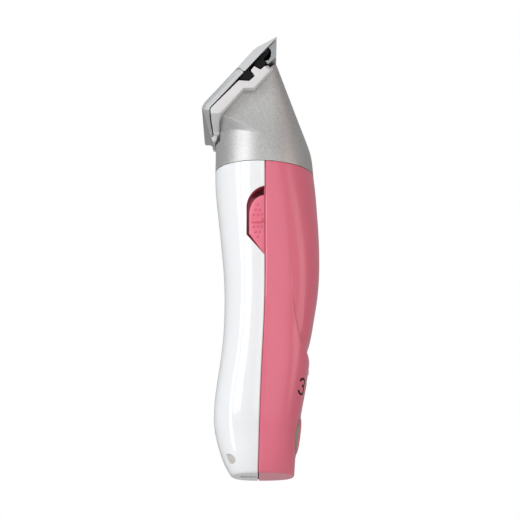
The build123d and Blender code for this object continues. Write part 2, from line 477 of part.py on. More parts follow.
for (s, y) in SCR:
    h1 = turned(b3(s, -8, y), (-SA, 0, CA), [(0, 1.25), (6.7, 1.25), (8.0, 2.5), (9.0, 2.5)])
    if s > 21:
        keep_fixed = keep_fixed - h1
    else:
        base = base - h1
keep("fixed_blade", keep_fixed)
keep("blade_base_plate", base)
guide = bprism([(18.6, -3.15), (22.2, -3.15), (23.5, -3.9), (22.8, -7.0), (20.4, -6.8), (18.0, -4.1)], -22.6, 22.6)
guide = guide + bprism([(14.0, -3.15), (26.0, -3.15), (26.0, -7.2), (14.0, -7.2)], -10.4, 10.4)
for (s, y) in SCR:
    guide = guide - cyl(b3(s, -6.6, y), b3(s, 0, y), 1.15)
keep("blade_guide", guide)
scr = []
for (s, y) in SCR:
    one = turned(b3(s, -6.3, y), (-SA, 0, CA), [(0, 1.14), (5.1, 1.14), (6.4, 2.4), (6.5, 2.4)])
    w = 0.3
    cut1 = bprism([(s - 1.3, 1), (s - 1.3, -0.4), (s + 1.3, -0.4), (s + 1.3, 1)], y - w, y + w)
    cut2 = bprism([(s - w, 1), (s - w, -0.4), (s + w, -0.4), (s + w, 1)], y - 1.3, y + 1.3)
    scr.append(one - cut1 - cut2)
keep("blade_screws", *scr, count=4)
keep("blade_tension_spring", *[bprism([(17, -7.2), (25.5, -7.2), (29.2, -7.45), (29.2, -7.85), (25.5, -7.7), (17, -7.7)],
                                      min(sy * 6.4, sy * 9.2), max(sy * 6.4, sy * 9.2)) for sy in (-1, 1)], count=2)
CW = CUTTER_W / 2
cutter = bprism([(41.0, -3.15), (35.35, -8.3), (31.0, -7.75), (31.4, -6.0), (32.6, -6.9), (34.4, -6.4), (35.8, -5.4), (36.5, -4.3), (36.6, -3.15)], -CW, CW)
n2, p2, g2 = 18, 2.34, 1.1
for k in range(n2):
    y = (k - (n2 - 1) / 2) * p2
    cutter = cutter - bprism([(37.6, -1), (37.6, -4.1), (36.2, -9.5), (45, -9.5), (45, -1)], y - g2 / 2, y + g2 / 2)
keep("moving_blade", cutter)
carrier = bprism([(36.45, -3.15), (36.35, -4.1), (34.5, -4.9), (31.8, -4.9), (31.2, -5.6), (30.9, -6.95), (27.4, -6.8), (26.9, -3.9), (28.1, -3.15)], -CW, CW)
for sy in (-1, 1):
    carrier = carrier + bprism([(27.6, -6.0), (27.6, -13.0), (30.6, -13.0), (30.6, -6.0)], min(sy * 1.75, sy * 4.4), max(sy * 1.75, sy * 4.4))
# ledge that carries the cutter
carrier = carrier - cutter
keep("blade_carrier", carrier)

# ---------------------------------------------------------------------- write
os.makedirs("parts", exist_ok=True)
for name, shapes in NODES.items():
    shape = shapes[0] if len(shapes) == 1 else Compound(children=shapes)
    export_step(shape, os.path.join("parts", name + ".step"))
print(len(NODES), "nodes written")
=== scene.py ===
import bpy, bmesh, json, math, random
from mathutils import Vector, Matrix


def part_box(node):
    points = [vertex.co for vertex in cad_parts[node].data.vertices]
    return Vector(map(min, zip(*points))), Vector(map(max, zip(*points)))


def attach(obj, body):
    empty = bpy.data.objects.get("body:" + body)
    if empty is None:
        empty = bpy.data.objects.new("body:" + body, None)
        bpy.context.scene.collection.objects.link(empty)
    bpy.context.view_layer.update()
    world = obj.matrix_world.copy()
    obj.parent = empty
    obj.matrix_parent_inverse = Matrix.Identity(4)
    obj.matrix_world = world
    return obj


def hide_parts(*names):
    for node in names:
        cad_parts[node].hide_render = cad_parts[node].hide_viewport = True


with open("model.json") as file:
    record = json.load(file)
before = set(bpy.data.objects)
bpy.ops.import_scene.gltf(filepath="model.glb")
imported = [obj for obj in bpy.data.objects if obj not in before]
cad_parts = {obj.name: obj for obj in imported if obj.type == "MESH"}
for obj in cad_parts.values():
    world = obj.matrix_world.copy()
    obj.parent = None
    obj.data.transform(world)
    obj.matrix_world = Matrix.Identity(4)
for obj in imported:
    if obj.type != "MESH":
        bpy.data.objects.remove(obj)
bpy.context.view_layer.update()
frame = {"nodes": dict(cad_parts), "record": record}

random.seed(7)
MM = 0.001
scene = bpy.context.scene

# ------------------------------------------------------------------ shape data
REAR = [(0, -13.0), (3, -15.0), (6, -16.5), (9.4, -17.7), (12.6, -18.7), (16, -19.5), (19, -20.1), (22.5, -20.4),
        (26, -20.4), (32, -20.0), (39, -19.1), (46, -18.05), (52.5, -17.25), (59, -16.65), (66, -16.35),
        (73, -16.25), (80, -16.4), (87, -16.85), (93, -17.4), (100, -18.1), (107, -18.85), (114, -19.6),
        (121, -20.25), (128, -20.4), (135, -20.3), (142, -20.2)]
# front edge without the grip fold
FRONT = [(0, 12.2), (4.5, 12.5), (8, 12.7), (11, 12.9), (14.3, 13.3), (17.6, 13.75), (21, 14.3), (24.2, 14.85),
         (27.5, 15.5), (31, 16.1), (34, 16.65), (37.5, 17.25), (41, 17.85), (45, 18.45), (49, 18.85), (52, 19.05), (56, 19.4),
         (59, 19.8), (62.6, 20.3), (66, 20.8), (69.4, 21.4), (73, 22.0), (76.5, 22.4), (80, 22.7), (86, 23.0),
         (90, 23.05), (97, 22.95), (104, 22.65), (111, 22.2), (118, 21.75), (125, 21.1), (128, 20.75), (135, 20.2),
         (142, 18.2)]
SEAM = [(0, -2.35), (8, -2.1), (16, -1.87), (24, -1.62), (32, -1.34), (40, -1.0), (49, -0.57), (57, -0.15),
        (65, 0.18), (74, 0.4), (84, 0.5), (142, 0.52)]
DEPTH = [(0, 11.0), (4, 12.8), (8, 14.1), (15, 15.5), (22, 16.5), (30, 17.0), (40, 17.4), (52, 17.6), (65, 17.9),
         (80, 18.7), (95, 19.6), (110, 20.5), (120, 21.1), (128, 21.4), (135, 21.3), (142, 20.8)]
EXP_R = [(0, 2.5), (10, 3.2), (45, 3.3), (60, 2.9), (90, 2.6), (110, 2.3), (128, 2.05), (142, 2.05)]
EXP_L = [(0, 2.5), (15, 2.3), (60, 2.2), (128, 2.05), (142, 2.05)]
RING_Z, RING_T = 127.5, math.tan(math.radians(2.45))


def curve(table):
    zs = [p[0] for p in table]
    vs = [p[1] for p in table]
    n = len(zs)
    d = [(vs[i + 1] - vs[i]) / (zs[i + 1] - zs[i]) for i in range(n - 1)]
    m = [d[0]]
    for i in range(1, n - 1):
        m.append(0.0 if d[i - 1] * d[i] <= 0 else 2 * d[i - 1] * d[i] / (d[i - 1] + d[i]))
    m.append(d[-1])

    def f(z):
        z = min(max(z, zs[0]), zs[-1])
        i = 0
        while i < n - 2 and z > zs[i + 1]:
            i += 1
        h = zs[i + 1] - zs[i]
        t = (z - zs[i]) / h
        return ((2 * t**3 - 3 * t**2 + 1) * vs[i] + (t**3 - 2 * t**2 + t) * h * m[i]
                + (-2 * t**3 + 3 * t**2) * vs[i + 1] + (t**3 - t**2) * h * m[i + 1])
    return f


def smoothed(f, w=2.5):
    """The curve averaged over a few millimetres, so that its curvature has no steps."""
    ks = [(-1.0, 0.5), (-0.5, 1.0), (0.0, 1.2), (0.5, 1.0), (1.0, 0.5)]
    tot = sum(k[1] for k in ks)

    def g(z):
        return sum(f(z + a * w) * b for a, b in ks) / tot
    return g


rear = smoothed(curve(REAR), 3.0)
front = smoothed(curve(FRONT), 3.5)
seam = smoothed(curve(SEAM), 3.0)
depth = smoothed(curve(DEPTH), 3.0)
exp_r, exp_l = smoothed(curve(EXP_R), 4.0), smoothed(curve(EXP_L), 4.0)
_rear0, _front0, _depth0 = curve(REAR), curve(FRONT), curve(DEPTH)


def near_base(f, f0):
    def g(z):
        k = min(max(z / 5.0, 0.0), 1.0)
        return f(z) * k + f0(z) * (1 - k)
    return g


rear, front, depth = near_base(rear, _rear0), near_base(front, _front0), near_base(depth, _depth0)

# grip fold: height of the fold line over the section angle (0 at the front, 90 at the seam)
FOLD_Z = curve([(0, 51.0), (14, 51.2), (28, 52.0), (44, 54.3), (57, 62.8), (66, 75.5), (72, 88.0), (90, 130.0)])
FOLD_A = curve([(0, 1.60), (30, 1.30), (44, 0.95), (57, 0.62), (66, 0.24), (71, 0.0), (90, 0.0)])
FOLD_UP = curve([(0, 4.3), (44, 4.1), (60, 3.8), (90, 3.8)])
FOLD_DN = curve([(0, 5.2), (14, 4.6), (30, 2.8), (44, 1.4), (57, 0.9), (90, 0.7)])


def fold(t, z, x):
    """Inward offset of the grip fold at section angle t (degrees) and height z."""
    t = abs(t)
    a = FOLD_A(t)
    if a <= 0.001:
        return 0.0
    zc = FOLD_Z(t)
    slope = (FOLD_Z(t + 1.0) - FOLD_Z(max(t - 1.0, 0.0))) / (t + 1.0 - max(t - 1.0, 0.0)) / 0.36
    d = (z - zc) / math.sqrt(1 + slope * slope)
    if d >= 0:
        return a * math.exp(-(d / FOLD_UP(t)) ** 1.2)
    w = FOLD_DN(t)
    if d <= -w:
        return 0.0
    k = 1 + d / w
    soft = min(t / 40.0, 1.0)
    return a * ((1 - soft) * k ** 1.3 + soft * k * k * (3 - 2 * k))


def section(t, z, inset=0.0):
    """Point of the handle's section: t in degrees, 0 = front (+X), 90 = seam at -Y, 180 = rear."""
    r = math.radians(t)
    c, s = math.cos(r), math.sin(r)
    if abs(c) < 1e-9:
        c = 0.0
    xs = seam(z)
    if c >= 0:
        p, a = exp_r(z), front(z) - inset - xs
    else:
        p, a = exp_l(z), xs - rear(z) - inset
    b = depth(z) - inset
    x = xs + a * math.copysign(abs(c) ** (2 / p), c)
    y = -b * math.copysign(abs(s) ** (2 / p), s)
    return x, y


def side_y(x, z, inset=0.0):
    """Y of the near (-Y) side of the handle at x, z."""
    xs = seam(z)
    if x >= xs:
        p, a = exp_r(z), front(z) - inset - xs
    else:
        p, a = exp_l(z), xs - rear(z) - inset
    q = min(abs(x - xs) / a, 0.999)
    return -(depth(z) - inset) * (1 - q**p) ** (1 / p)


def front_x(y, z):
    """X of the front face of the handle at y, z."""
    xs = seam(z)
    q = min(abs(y) / depth(z), 0.999)
    p = exp_r(z)
    return xs + (front(z) - xs) * (1 - q**p) ** (1 / p)


# ------------------------------------------------------------- mesh utilities
def new_obj(name, verts, faces, smooth=True):
    me = bpy.data.meshes.new(name)
    me.from_pydata([(x * MM, y * MM, z * MM) for x, y, z in verts], [], faces)
    me.update()
    bm = bmesh.new()
    bm.from_mesh(me)
    bmesh.ops.recalc_face_normals(bm, faces=bm.faces)
    bm.to_mesh(me)
    bm.free()
    if smooth:
        me.shade_smooth()
    ob = bpy.data.objects.new(name, me)
    scene.collection.objects.link(ob)
    return ob


def apply_mods(ob):
    dg = bpy.context.evaluated_depsgraph_get()
    dg.update()
    me = bpy.data.meshes.new_from_object(ob.evaluated_get(dg), depsgraph=dg)
    old = ob.data
    ob.modifiers.clear()
    ob.data = me
    me.name = ob.name
    if old.users == 0:
        bpy.data.meshes.remove(old)
    return ob


def cut(ob, cutters, op="DIFFERENCE"):
    for c in cutters:
        m = ob.modifiers.new("cut", "BOOLEAN")
        m.operation = op
        m.solver = "EXACT"
        m.object = c
        apply_mods(ob)
    for c in cutters:
        me = c.data
        bpy.data.objects.remove(c)
        if me.users == 0:
            bpy.data.meshes.remove(me)
    return ob


def weld(ob, dist=0.02):
    bm = bmesh.new()
    bm.from_mesh(ob.data)
    bmesh.ops.remove_doubles(bm, verts=bm.verts, dist=dist * MM)
    bmesh.ops.dissolve_degenerate(bm, dist=dist * MM * 0.5, edges=bm.edges)
    bm.to_mesh(ob.data)
    bm.free()
    return ob


def edges(ob, width=0.25, segments=3, angle=32.0, weighted=True, apply=True):
    if width > 0:
        b = ob.modifiers.new("edge", "BEVEL")
        b.width = width * MM
        b.segments = segments
        b.limit_method = "ANGLE"
        b.angle_limit = math.radians(angle)
        b.use_clamp_overlap = True
        b.harden_normals = False
        b.miter_outer = "MITER_ARC"
    if apply:
        apply_mods(ob)
    ob.data.shade_smooth()
    if weighted:
        w = ob.modifiers.new("wn", "WEIGHTED_NORMAL")
        w.keep_sharp = True
        w.weight = 60
    return ob


def prism(name, pts, y0, y1, smooth=False):
    """X-Z polygon pushed along Y, both millimetres."""
    n = len(pts)
    v = [(x, y0, z) for x, z in pts] + [(x, y1, z) for x, z in pts]
    f = [list(range(n))[::-1], list(range(n, 2 * n))]
    f += [[i, (i + 1) % n, n + (i + 1) % n, n + i] for i in range(n)]
    return new_obj(name, v, f, smooth)


def slab(name, pts, x0, x1):
    """Y-Z polygon pushed along X."""
    n = len(pts)
    v = [(x0, y, z) for y, z in pts] + [(x1, y, z) for y, z in pts]
    f = [list(range(n))[::-1], list(range(n, 2 * n))]
    f += [[i, (i + 1) % n, n + (i + 1) % n, n + i] for i in range(n)]
    return new_obj(name, v, f, False)


def tube_x(name, y, z, r, x0, x1, n=64):
    return slab(name, [(y + r * math.cos(2 * math.pi * i / n), z + r * math.sin(2 * math.pi * i / n)) for i in range(n)], x0, x1)


def lathe(name, origin, axis, profile, n=128, smooth=True):
    """Closed solid of revolution, profile (radius, distance along axis)."""
    ax = Vector(axis).normalized()
    u = ax.orthogonal().normalized()
    w = ax.cross(u)
    o = Vector(origin)
    v, f, rings = [], [], []
    for r, d in profile:
        if r <= 1e-6:
            rings.append([len(v)])
            v.append(tuple(o + ax * d))
        else:
            ids = []
            for i in range(n):
                a = 2 * math.pi * i / n
                ids.append(len(v))
                v.append(tuple(o + ax * d + u * (r * math.cos(a)) + w * (r * math.sin(a))))
            rings.append(ids)
    for a, b in zip(rings, rings[1:]):
        for i in range(n):
            j = (i + 1) % n
            if len(a) == 1 and len(b) == 1:
                continue
            if len(a) == 1:
                f.append([a[0], b[j], b[i]])
            elif len(b) == 1:
                f.append([a[i], a[j], b[0]])
            else:
                f.append([a[i], a[j], b[j], b[i]])
    if len(rings[0]) > 1 and len(rings[-1]) > 1:
        a, b = rings[-1], rings[0]
        for i in range(n):
            j = (i + 1) % n
            f.append([a[i], a[j], b[j], b[i]])
    return new_obj(name, v, f, smooth)


def join(name, objs):
    v, f = [], []
    for o in objs:
        base = len(v)
        v += [tuple(x.co / MM) for x in o.data.vertices]
        f += [[base + i for i in p.vertices] for p in o.data.polygons]
        me = o.data
        bpy.data.objects.remove(o)
        bpy.data.meshes.remove(me)
    return new_obj(name, v, f, True)


# ------------------------------------------------------------------ materials
def material(name, color, metallic=0.0, rough=0.4, coat=0.0, coat_rough=0.05, ior=1.5, aniso=0.0, spec=0.5, sheen=0.0):
    m = bpy.data.materials.new(name)
    m.use_nodes = True
    nt = m.node_tree
    nt.nodes.clear()
    out = nt.nodes.new("ShaderNodeOutputMaterial")
    b = nt.nodes.new("ShaderNodeBsdfPrincipled")
    b.inputs["Base Color"].default_value = (*color, 1)
    b.inputs["Metallic"].default_value = metallic
    b.inputs["Roughness"].default_value = rough
    b.inputs["Coat Weight"].default_value = coat
    b.inputs["Coat Roughness"].default_value = coat_rough
    b.inputs["IOR"].default_value = ior
    b.inputs["Anisotropic"].default_value = aniso
    b.inputs["Specular IOR Level"].default_value = spec
    nt.links.new(b.outputs[0], out.inputs[0])
    return m, nt, b


def coords(nt, scale=(1, 1, 1), rot=(0, 0, 0)):
    tc = nt.nodes.new("ShaderNodeTexCoord")
    mp = nt.nodes.new("ShaderNodeMapping")
    mp.inputs["Scale"].default_value = scale
    mp.inputs["Rotation"].default_value = rot
    nt.links.new(tc.outputs["Object"], mp.inputs["Vector"])
    return mp.outputs["Vector"]


def noise(nt, vec, scale, detail=3.0, rough=0.5):
    n = nt.nodes.new("ShaderNodeTexNoise")
    n.inputs["Scale"].default_value = scale
    n.inputs["Detail"].default_value = detail
    n.inputs["Roughness"].default_value = rough
    nt.links.new(vec, n.inputs["Vector"])
    return n.outputs["Fac"]


def ramp(nt, fac, stops):
    r = nt.nodes.new("ShaderNodeValToRGB")
    el = r.color_ramp.elements
    while len(el) < len(stops):
        el.new(0.5)
    for e, (p, c) in zip(el, stops):
        e.position = p
        e.color = (*c, 1) if len(c) == 3 else c
    nt.links.new(fac, r.inputs["Fac"])
    return r.outputs["Color"]


def maprange(nt, fac, a, b, lo, hi):
    n = nt.nodes.new("ShaderNodeMapRange")
    n.inputs["From Min"].default_value = a
    n.inputs["From Max"].default_value = b
    n.inputs["To Min"].default_value = lo
    n.inputs["To Max"].default_value = hi
    nt.links.new(fac, n.inputs["Value"])
    return n.outputs["Result"]


def bump(nt, b, height, strength, distance, prev=None):
    n = nt.nodes.new("ShaderNodeBump")
    n.inputs["Strength"].default_value = strength
    n.inputs["Distance"].default_value = distance
    nt.links.new(height, n.inputs["Height"])
    if prev is not None:
        nt.links.new(prev, n.inputs["Normal"])
    nt.links.new(n.outputs["Normal"], b.inputs["Normal"])
    return n.outputs["Normal"]


def plastic(name, color, rough, coat=0.0, grain=900.0, depth_mm=0.004, vary=0.05, coat_rough=0.06, peel=70.0, peel_mm=0.0, rv=0.15):
    """Moulded plastic: slight colour drift, roughness drift and a fine surface grain."""
    m, nt, b = material(name, color, 0.0, rough, coat, coat_rough)
    v = coords(nt)
    big = noise(nt, v, 60.0, 3.0)
    lo = tuple(max(c * (1 - vary), 0) for c in color)
    hi = tuple(min(c * (1 + vary), 1) for c in color)
    nt.links.new(ramp(nt, big, [(0.3, lo), (0.7, hi)]), b.inputs["Base Color"])
    fine = noise(nt, v, grain, 2.0)
    nt.links.new(maprange(nt, noise(nt, v, 240.0, 4.0), 0.3, 0.7, rough * (1 - rv), rough * (1 + rv)), b.inputs["Roughness"])
    prev = bump(nt, b, fine, 1.0, depth_mm * MM)
    if peel_mm:
        bump(nt, b, noise(nt, v, peel, 1.0), 1.0, peel_mm * MM, prev)
    return m


def metal(name, color, rough, streak=(1, 1, 1), scale=900.0, depth_mm=0.004, aniso=0.0, metallic=1.0, vary=0.08, rot=(0, 0, 0)):
    """Ground or brushed metal: streaks along the grinding direction."""
    m, nt, b = material(name, color, metallic, rough, aniso=aniso)
    v = coords(nt, streak, rot)
    s = noise(nt, v, scale, 3.0, 0.6)
    lo = tuple(max(c * (1 - vary), 0) for c in color)
    hi = tuple(min(c * (1 + vary), 1) for c in color)
    nt.links.new(ramp(nt, s, [(0.3, lo), (0.7, hi)]), b.inputs["Base Color"])
    nt.links.new(maprange(nt, s, 0.3, 0.7, rough * 0.8, rough * 1.25), b.inputs["Roughness"])
    bump(nt, b, s, 1.0, depth_mm * MM)
    return m


M = {}
M["white"] = plastic("m_white", (0.83, 0.85, 0.87), 0.13, coat=0.35, depth_mm=0.0006, vary=0.012, coat_rough=0.03, peel=55, peel_mm=0.012)
M["pink"] = plastic("m_pink", (0.71, 0.146, 0.222), 0.33, coat=0.30, grain=2600, depth_mm=0.0003, vary=0.012, coat_rough=0.12, peel=50, peel_mm=0.003, rv=0.03)
# dark maroon for the switch recess lining and the seam tongue: pink plastic darkened as painted shade
M["pink_painted_shade"] = plastic("m_pink_painted_shade", (0.42, 0.055, 0.090), 0.45, grain=2200, depth_mm=0.001, vary=0.05)
M["button"] = plastic("m_button", (0.76, 0.165, 0.245), 0.42, grain=2200, depth_mm=0.003, vary=0.04)
M["ring"] = plastic("m_ring", (0.26, 0.28, 0.22), 0.38, grain=1800, depth_mm=0.002, vary=0.05)
M["plug"] = plastic("m_plug", (0.55, 0.52, 0.48), 0.6, grain=1600, depth_mm=0.004, vary=0.06)
M["cradle"] = plastic("m_cradle", (0.68, 0.68, 0.69), 0.34, coat=0.15, grain=1800, depth_mm=0.002, vary=0.03, coat_rough=0.12)
M["black"] = plastic("m_black", (0.006, 0.006, 0.007), 0.40, grain=1700, depth_mm=0.004, vary=0.2)
for k in ("black",):
    next(q for q in M[k].node_tree.nodes if q.type == "BSDF_PRINCIPLED").inputs["Specular IOR Level"].default_value = 0.15
M["inner"] = plastic("m_inner", (0.62, 0.61, 0.56), 0.5, grain=900, depth_mm=0.004, vary=0.05)
M["cell"] = plastic("m_cell", (0.03, 0.13, 0.33), 0.3, grain=600, depth_mm=0.002, vary=0.08)
M["board"] = plastic("m_board", (0.02, 0.12, 0.05), 0.35, grain=1500, depth_mm=0.004, vary=0.25)
M["lens"] = plastic("m_lens", (0.78, 0.72, 0.70), 0.2, grain=500, depth_mm=0.001, vary=0.03)
M["rubber"] = plastic("m_rubber", (0.02, 0.02, 0.02), 0.7, grain=1500, depth_mm=0.006, vary=0.2)
M["ink"] = plastic("m_ink", (0.004, 0.004, 0.005), 0.35, grain=2500, depth_mm=0.002, vary=0.1)
next(q for q in M["ink"].node_tree.nodes if q.type == "BSDF_PRINCIPLED").inputs["Specular IOR Level"].default_value = 0.12
M["magnet"] = plastic("m_magnet", (0.05, 0.05, 0.055), 0.6, grain=1200, depth_mm=0.01, vary=0.2)
M["blade"] = metal("m_blade", (0.57, 0.58, 0.59), 0.29, streak=(1, 0.04, 1), scale=2600, depth_mm=0.0015)
M["plate"] = metal("m_plate", (0.55, 0.56, 0.575), 0.31, streak=(1, 0.05, 1), scale=2200, depth_mm=0.0015)
M["cutter"] = metal("m_cutter", (0.34, 0.36, 0.37), 0.33, streak=(1, 0.05, 1), scale=2400, depth_mm=0.002)
M["steel"] = metal("m_steel", (0.55, 0.55, 0.55), 0.28, streak=(1, 1, 1), scale=1500, depth_mm=0.002)
M["brass"] = metal("m_brass", (0.75, 0.55, 0.25), 0.3, streak=(1, 1, 0.1), scale=1500, depth_mm=0.002)
M["nickel"] = metal("m_nickel", (0.55, 0.52, 0.45), 0.35, streak=(1, 0.1, 1), scale=1800, depth_mm=0.002)
M["can"] = metal("m_can", (0.52, 0.53, 0.54), 0.32, streak=(1, 1, 0.06), scale=1200, depth_mm=0.002)
M["rotor"] = metal("m_rotor", (0.36, 0.22, 0.12), 0.45, streak=(0.2, 0.2, 8), scale=500, depth_mm=0.02)


def silver():
    """Silver metallic paint: fine flakes under a satin coat."""
    m, nt, b = material("m_silver", (0.53, 0.53, 0.53), 0.72, 0.46, coat=0.15, coat_rough=0.36)
    v = coords(nt)
    vo = nt.nodes.new("ShaderNodeTexVoronoi")
    vo.inputs["Scale"].default_value = 5200.0
    nt.links.new(v, vo.inputs["Vector"])
    sep = nt.nodes.new("ShaderNodeSeparateColor")
    nt.links.new(vo.outputs["Color"], sep.inputs[0])
    mott = noise(nt, v, 1500.0, 3.0, 0.65)
    mix = nt.nodes.new("ShaderNodeMath")
    mix.operation = "MULTIPLY_ADD"
    nt.links.new(sep.outputs[0], mix.inputs[0])
    mix.inputs[1].default_value = 0.30
    nt.links.new(mott, mix.inputs[2])
    nt.links.new(ramp(nt, mix.outputs[0], [(0.40, (0.41, 0.415, 0.41)), (0.62, (0.49, 0.49, 0.49)), (0.86, (0.58, 0.58, 0.585))]),
                 b.inputs["Base Color"])
    nt.links.new(maprange(nt, mott, 0.3, 0.7, 0.42, 0.54), b.inputs["Roughness"])
    p = bump(nt, b, sep.outputs[1], 1.0, 0.0045 * MM)
    bump(nt, b, mott, 1.0, 0.006 * MM, p)
    return m


M["silver"] = silver()

SLOT_MAT = {"white_shell": "white", "pink_shell": "pink", "pink_button": "button", "grey_ring": "ring", "plug_rubber": "plug",
            "silver_paint": "silver", "cradle_grey": "cradle", "blade_steel": "blade", "plate_satin": "plate", "cutter_steel": "cutter",
            "spring_steel": "steel", "black_plastic": "black", "inner_plastic": "inner", "screw_steel": "steel", "brass_contact": "brass",
            "nickel_strip": "nickel", "cell_wrap": "cell", "board_laminate": "board", "light_lens": "lens", "zinc_can": "can",
            "magnet": "magnet", "rotor_steel": "rotor", "damper_rubber": "rubber"}
slot_of = {s["node"]: s["material_slot"] for s in frame["record"]["subparts"]}
body_of = {n: b for b, ns in frame["record"]["behaviour"]["bodies"].items() for n in ns}
for n, ob in frame["nodes"].items():
    ob.data.materials.clear()
    ob.data.materials.append(M[SLOT_MAT[slot_of[n]]])


def finish_piece(ob, node, mat, extra=()):
    ob.data.materials.clear()
    ob.data.materials.append(M[mat])
    for p in ob.data.polygons:
        p.material_index = 0
    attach(ob, body_of[node])
    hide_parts(node, *extra)
    return ob


# ------------------------------------------------------------- handle shells
WALL = 2.0
GAP = 0.20         # half of the groove at the seam


def shell(name, side):
    """side +1: front half (t from -90 to 90), -1: rear half (t from 90 to 270)."""
    n = 180
    t0 = -90.0 if side > 0 else 90.0
    ts = [t0 + 180.0 * i / n for i in range(n + 1)]
    rows = []
    z = 0.0
    zs = [0.0, 0.12, 0.3, 0.55, 0.85]
    z = 1.3
    while z < 124.0:
        zs.append(z)
        z += 0.5 if (side > 0 and 44 < z < 92) else 1.0
    zs += [124.0 + 0.5 * k for k in range(0, 7)]
    top = [127.26, 127.38, 127.44]
    zs = [q for q in zs if q < 127.1] + top
    verts, faces = [], []

    def rim(z):
        """Inset of the bottom and top edge rounding."""
        q = 0.0
        if z < 0.85:
            k = 1 - z / 0.85
            q = 0.8 * (1 - math.sqrt(max(1 - k * k, 0)))
        if z > 127.2:
            q = {127.26: 0.02, 127.38: 0.10, 127.44: 0.22}[z]
        return q

    def place(x, z):
        """Tilts the top rows to the head ring."""
        k = min(max((z - 112.0) / 15.44, 0.0), 1.0)
        return z - k * k * x * RING_T

    RB = 0.32      # rounding at the seam edge
    outer_rows, inner_rows = [], []
    for z in zs:
        q = rim(z)
        row = []
        xs = seam(z)
        for i, t in enumerate(ts):
            x, y = section(t, z, q)
            if side > 0:
                d = fold(t, z, x)
                if d > 0:
                    r = math.hypot(x - xs, y)
                    x -= d * (x - xs) / r
                    y -= d * y / r
            # seam edge: pull back and round
            e = (x - xs) * side
            if e < GAP + RB:
                k = min(max((GAP + RB - e) / (GAP + RB), 0), 1)
                e2 = GAP + (RB) * (1 - k)
                x = xs + side * e2
                fall = RB * (1 - math.sqrt(max(1 - k * k, 0.0)))
                y -= math.copysign(fall, y)
            row.append(len(verts))
            verts.append((x, y, place(x, z)))
        outer_rows.append(row)
    zin = [q for q in zs if q > WALL]
    first_in = len(zs) - len(zin)
    for z in zin:
        row = []
        xs = seam(z)
        for i, t in enumerate(ts):
            x, y = section(t, z, WALL)
            if (x - xs) * side < GAP:
                x = xs + side * GAP
            if side > 0:
                d = fold(t, z, x)
                if d > 0:
                    r = math.hypot(x - xs, y)
                    x -= d * 0.8 * (x - xs) / r
                    y -= d * 0.8 * y / r
            row.append(len(verts))
            verts.append((x, y, place(x, z)))
        inner_rows.append(row)
    for a, b in zip(outer_rows, outer_rows[1:]):
        for i in range(n):
            faces.append([a[i], a[i + 1], b[i + 1], b[i]])
    for a, b in zip(inner_rows, inner_rows[1:]):
        for i in range(n):
            faces.append([a[i], b[i], b[i + 1], a[i + 1]])
    # seam flanges
    for k, (ra, rb) in enumerate(zip(inner_rows, inner_rows[1:])):
        oa, ob = outer_rows[first_in + k], outer_rows[first_in + k + 1]
        faces.append([oa[0], ob[0], rb[0], ra[0]])
        faces.append([oa[n], ra[n], rb[n], ob[n]])
    # top rim
    ot, it = outer_rows[-1], inner_rows[-1]
    for i in range(n):
        faces.append([ot[i], ot[i + 1], it[i + 1], it[i]])
    # base slab: floor inside, seam face, underside
    oz, iz = outer_rows[first_in], inner_rows[0]
    faces.append(list(iz))
    seam_face = [outer_rows[k][0] for k in range(0, first_in + 1)] + [iz[0]] + [iz[n]] + [outer_rows[k][n] for k in range(first_in, -1, -1)]
    faces.append(seam_face)
    faces.append(list(outer_rows[0]))
    return new_obj(name, verts, faces)


def d_outline(top, tip, left, ytop, ybot, right, n=14):
    arc = []
    for i in range(0, n + 1):
        a = math.pi / 2 * i / n
        arc.append((right - (right - left) * math.sin(a), ytop + (top - ytop) * math.cos(a)))
    return arc + [(left, ybot), (right, tip)]


def inset_poly(pts, d):
    """Offset of a convex outline inward by d."""
    n = len(pts)
    out = []
    area = sum(pts[i][0] * pts[(i + 1) % n][1] - pts[(i + 1) % n][0] * pts[i][1] for i in range(n))
    sg = 1 if area > 0 else -1
    for i in range(n):
        p0, p1, p2 = Vector(pts[i - 1]), Vector(pts[i]), Vector(pts[(i + 1) % n])
        e1, e2 = (p1 - p0).normalized(), (p2 - p1).normalized()
        n1, n2 = Vector((-e1.y, e1.x)) * sg, Vector((-e2.y, e2.x)) * sg
        b = (n1 + n2)
        if b.length < 1e-6:
            b = n1
        b.normalize()
        k = d / max(b.dot(n1), 0.35)
        out.append((p1.x + b.x * k, p1.y + b.y * k))
    return out


def fine(pts, step):
    out = []
    n = len(pts)
    for i in range(n):
        a, b = Vector(pts[i]), Vector(pts[(i + 1) % n])
        m = max(1, int((b - a).length / step))
        for k in range(m):
            p = a + (b - a) * k / m
            out.append((p.x, p.y))
    return out


WELL = d_outline(116.7, 86.2, -6.9, 108.0, 96.8, 2.0, 22)
DIAL_Z, DIAL_R, DIAL_TILT = 16.6, 8.7, math.radians(7.5)
DU = Vector((math.cos(DIAL_TILT), 0, -math.sin(DIAL_TILT)))
DP = Vector((_front0(DIAL_Z), 0, DIAL_Z))
SCREW_Y, SCREW_Z = 9.0, 6.0
sock_lo, sock_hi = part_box("charge_socket")

rear_cover = shell("rear_shell", -1)
cutD = prism("cd", inset_poly(fine(WELL, 0.5), -0.3), -30, -8)
holes = [tube_x("ch%d" % i, sy * SCREW_Y, SCREW_Z, 2.05, -26, -9.0) for i, sy in enumerate((-1, 1))]
cutS = new_obj("cs", [(x, y, z) for x in (sock_lo.x / MM + 1.0, sock_hi.x / MM - 0.4) for y in (sock_lo.y / MM + 1.0, sock_hi.y / MM - 1.0) for z in (-3, 5)],
               [[0, 1, 3, 2], [4, 6, 7, 5], [0, 4, 5, 1], [2, 3, 7, 6], [0, 2, 6, 4], [1, 5, 7, 3]], False)
cut(rear_cover, [cutD, cutS] + holes)
weld(rear_cover, 0.03)
edges(rear_cover, 0.28, 3, 38)
finish_piece(rear_cover, "rear_cover", "white")

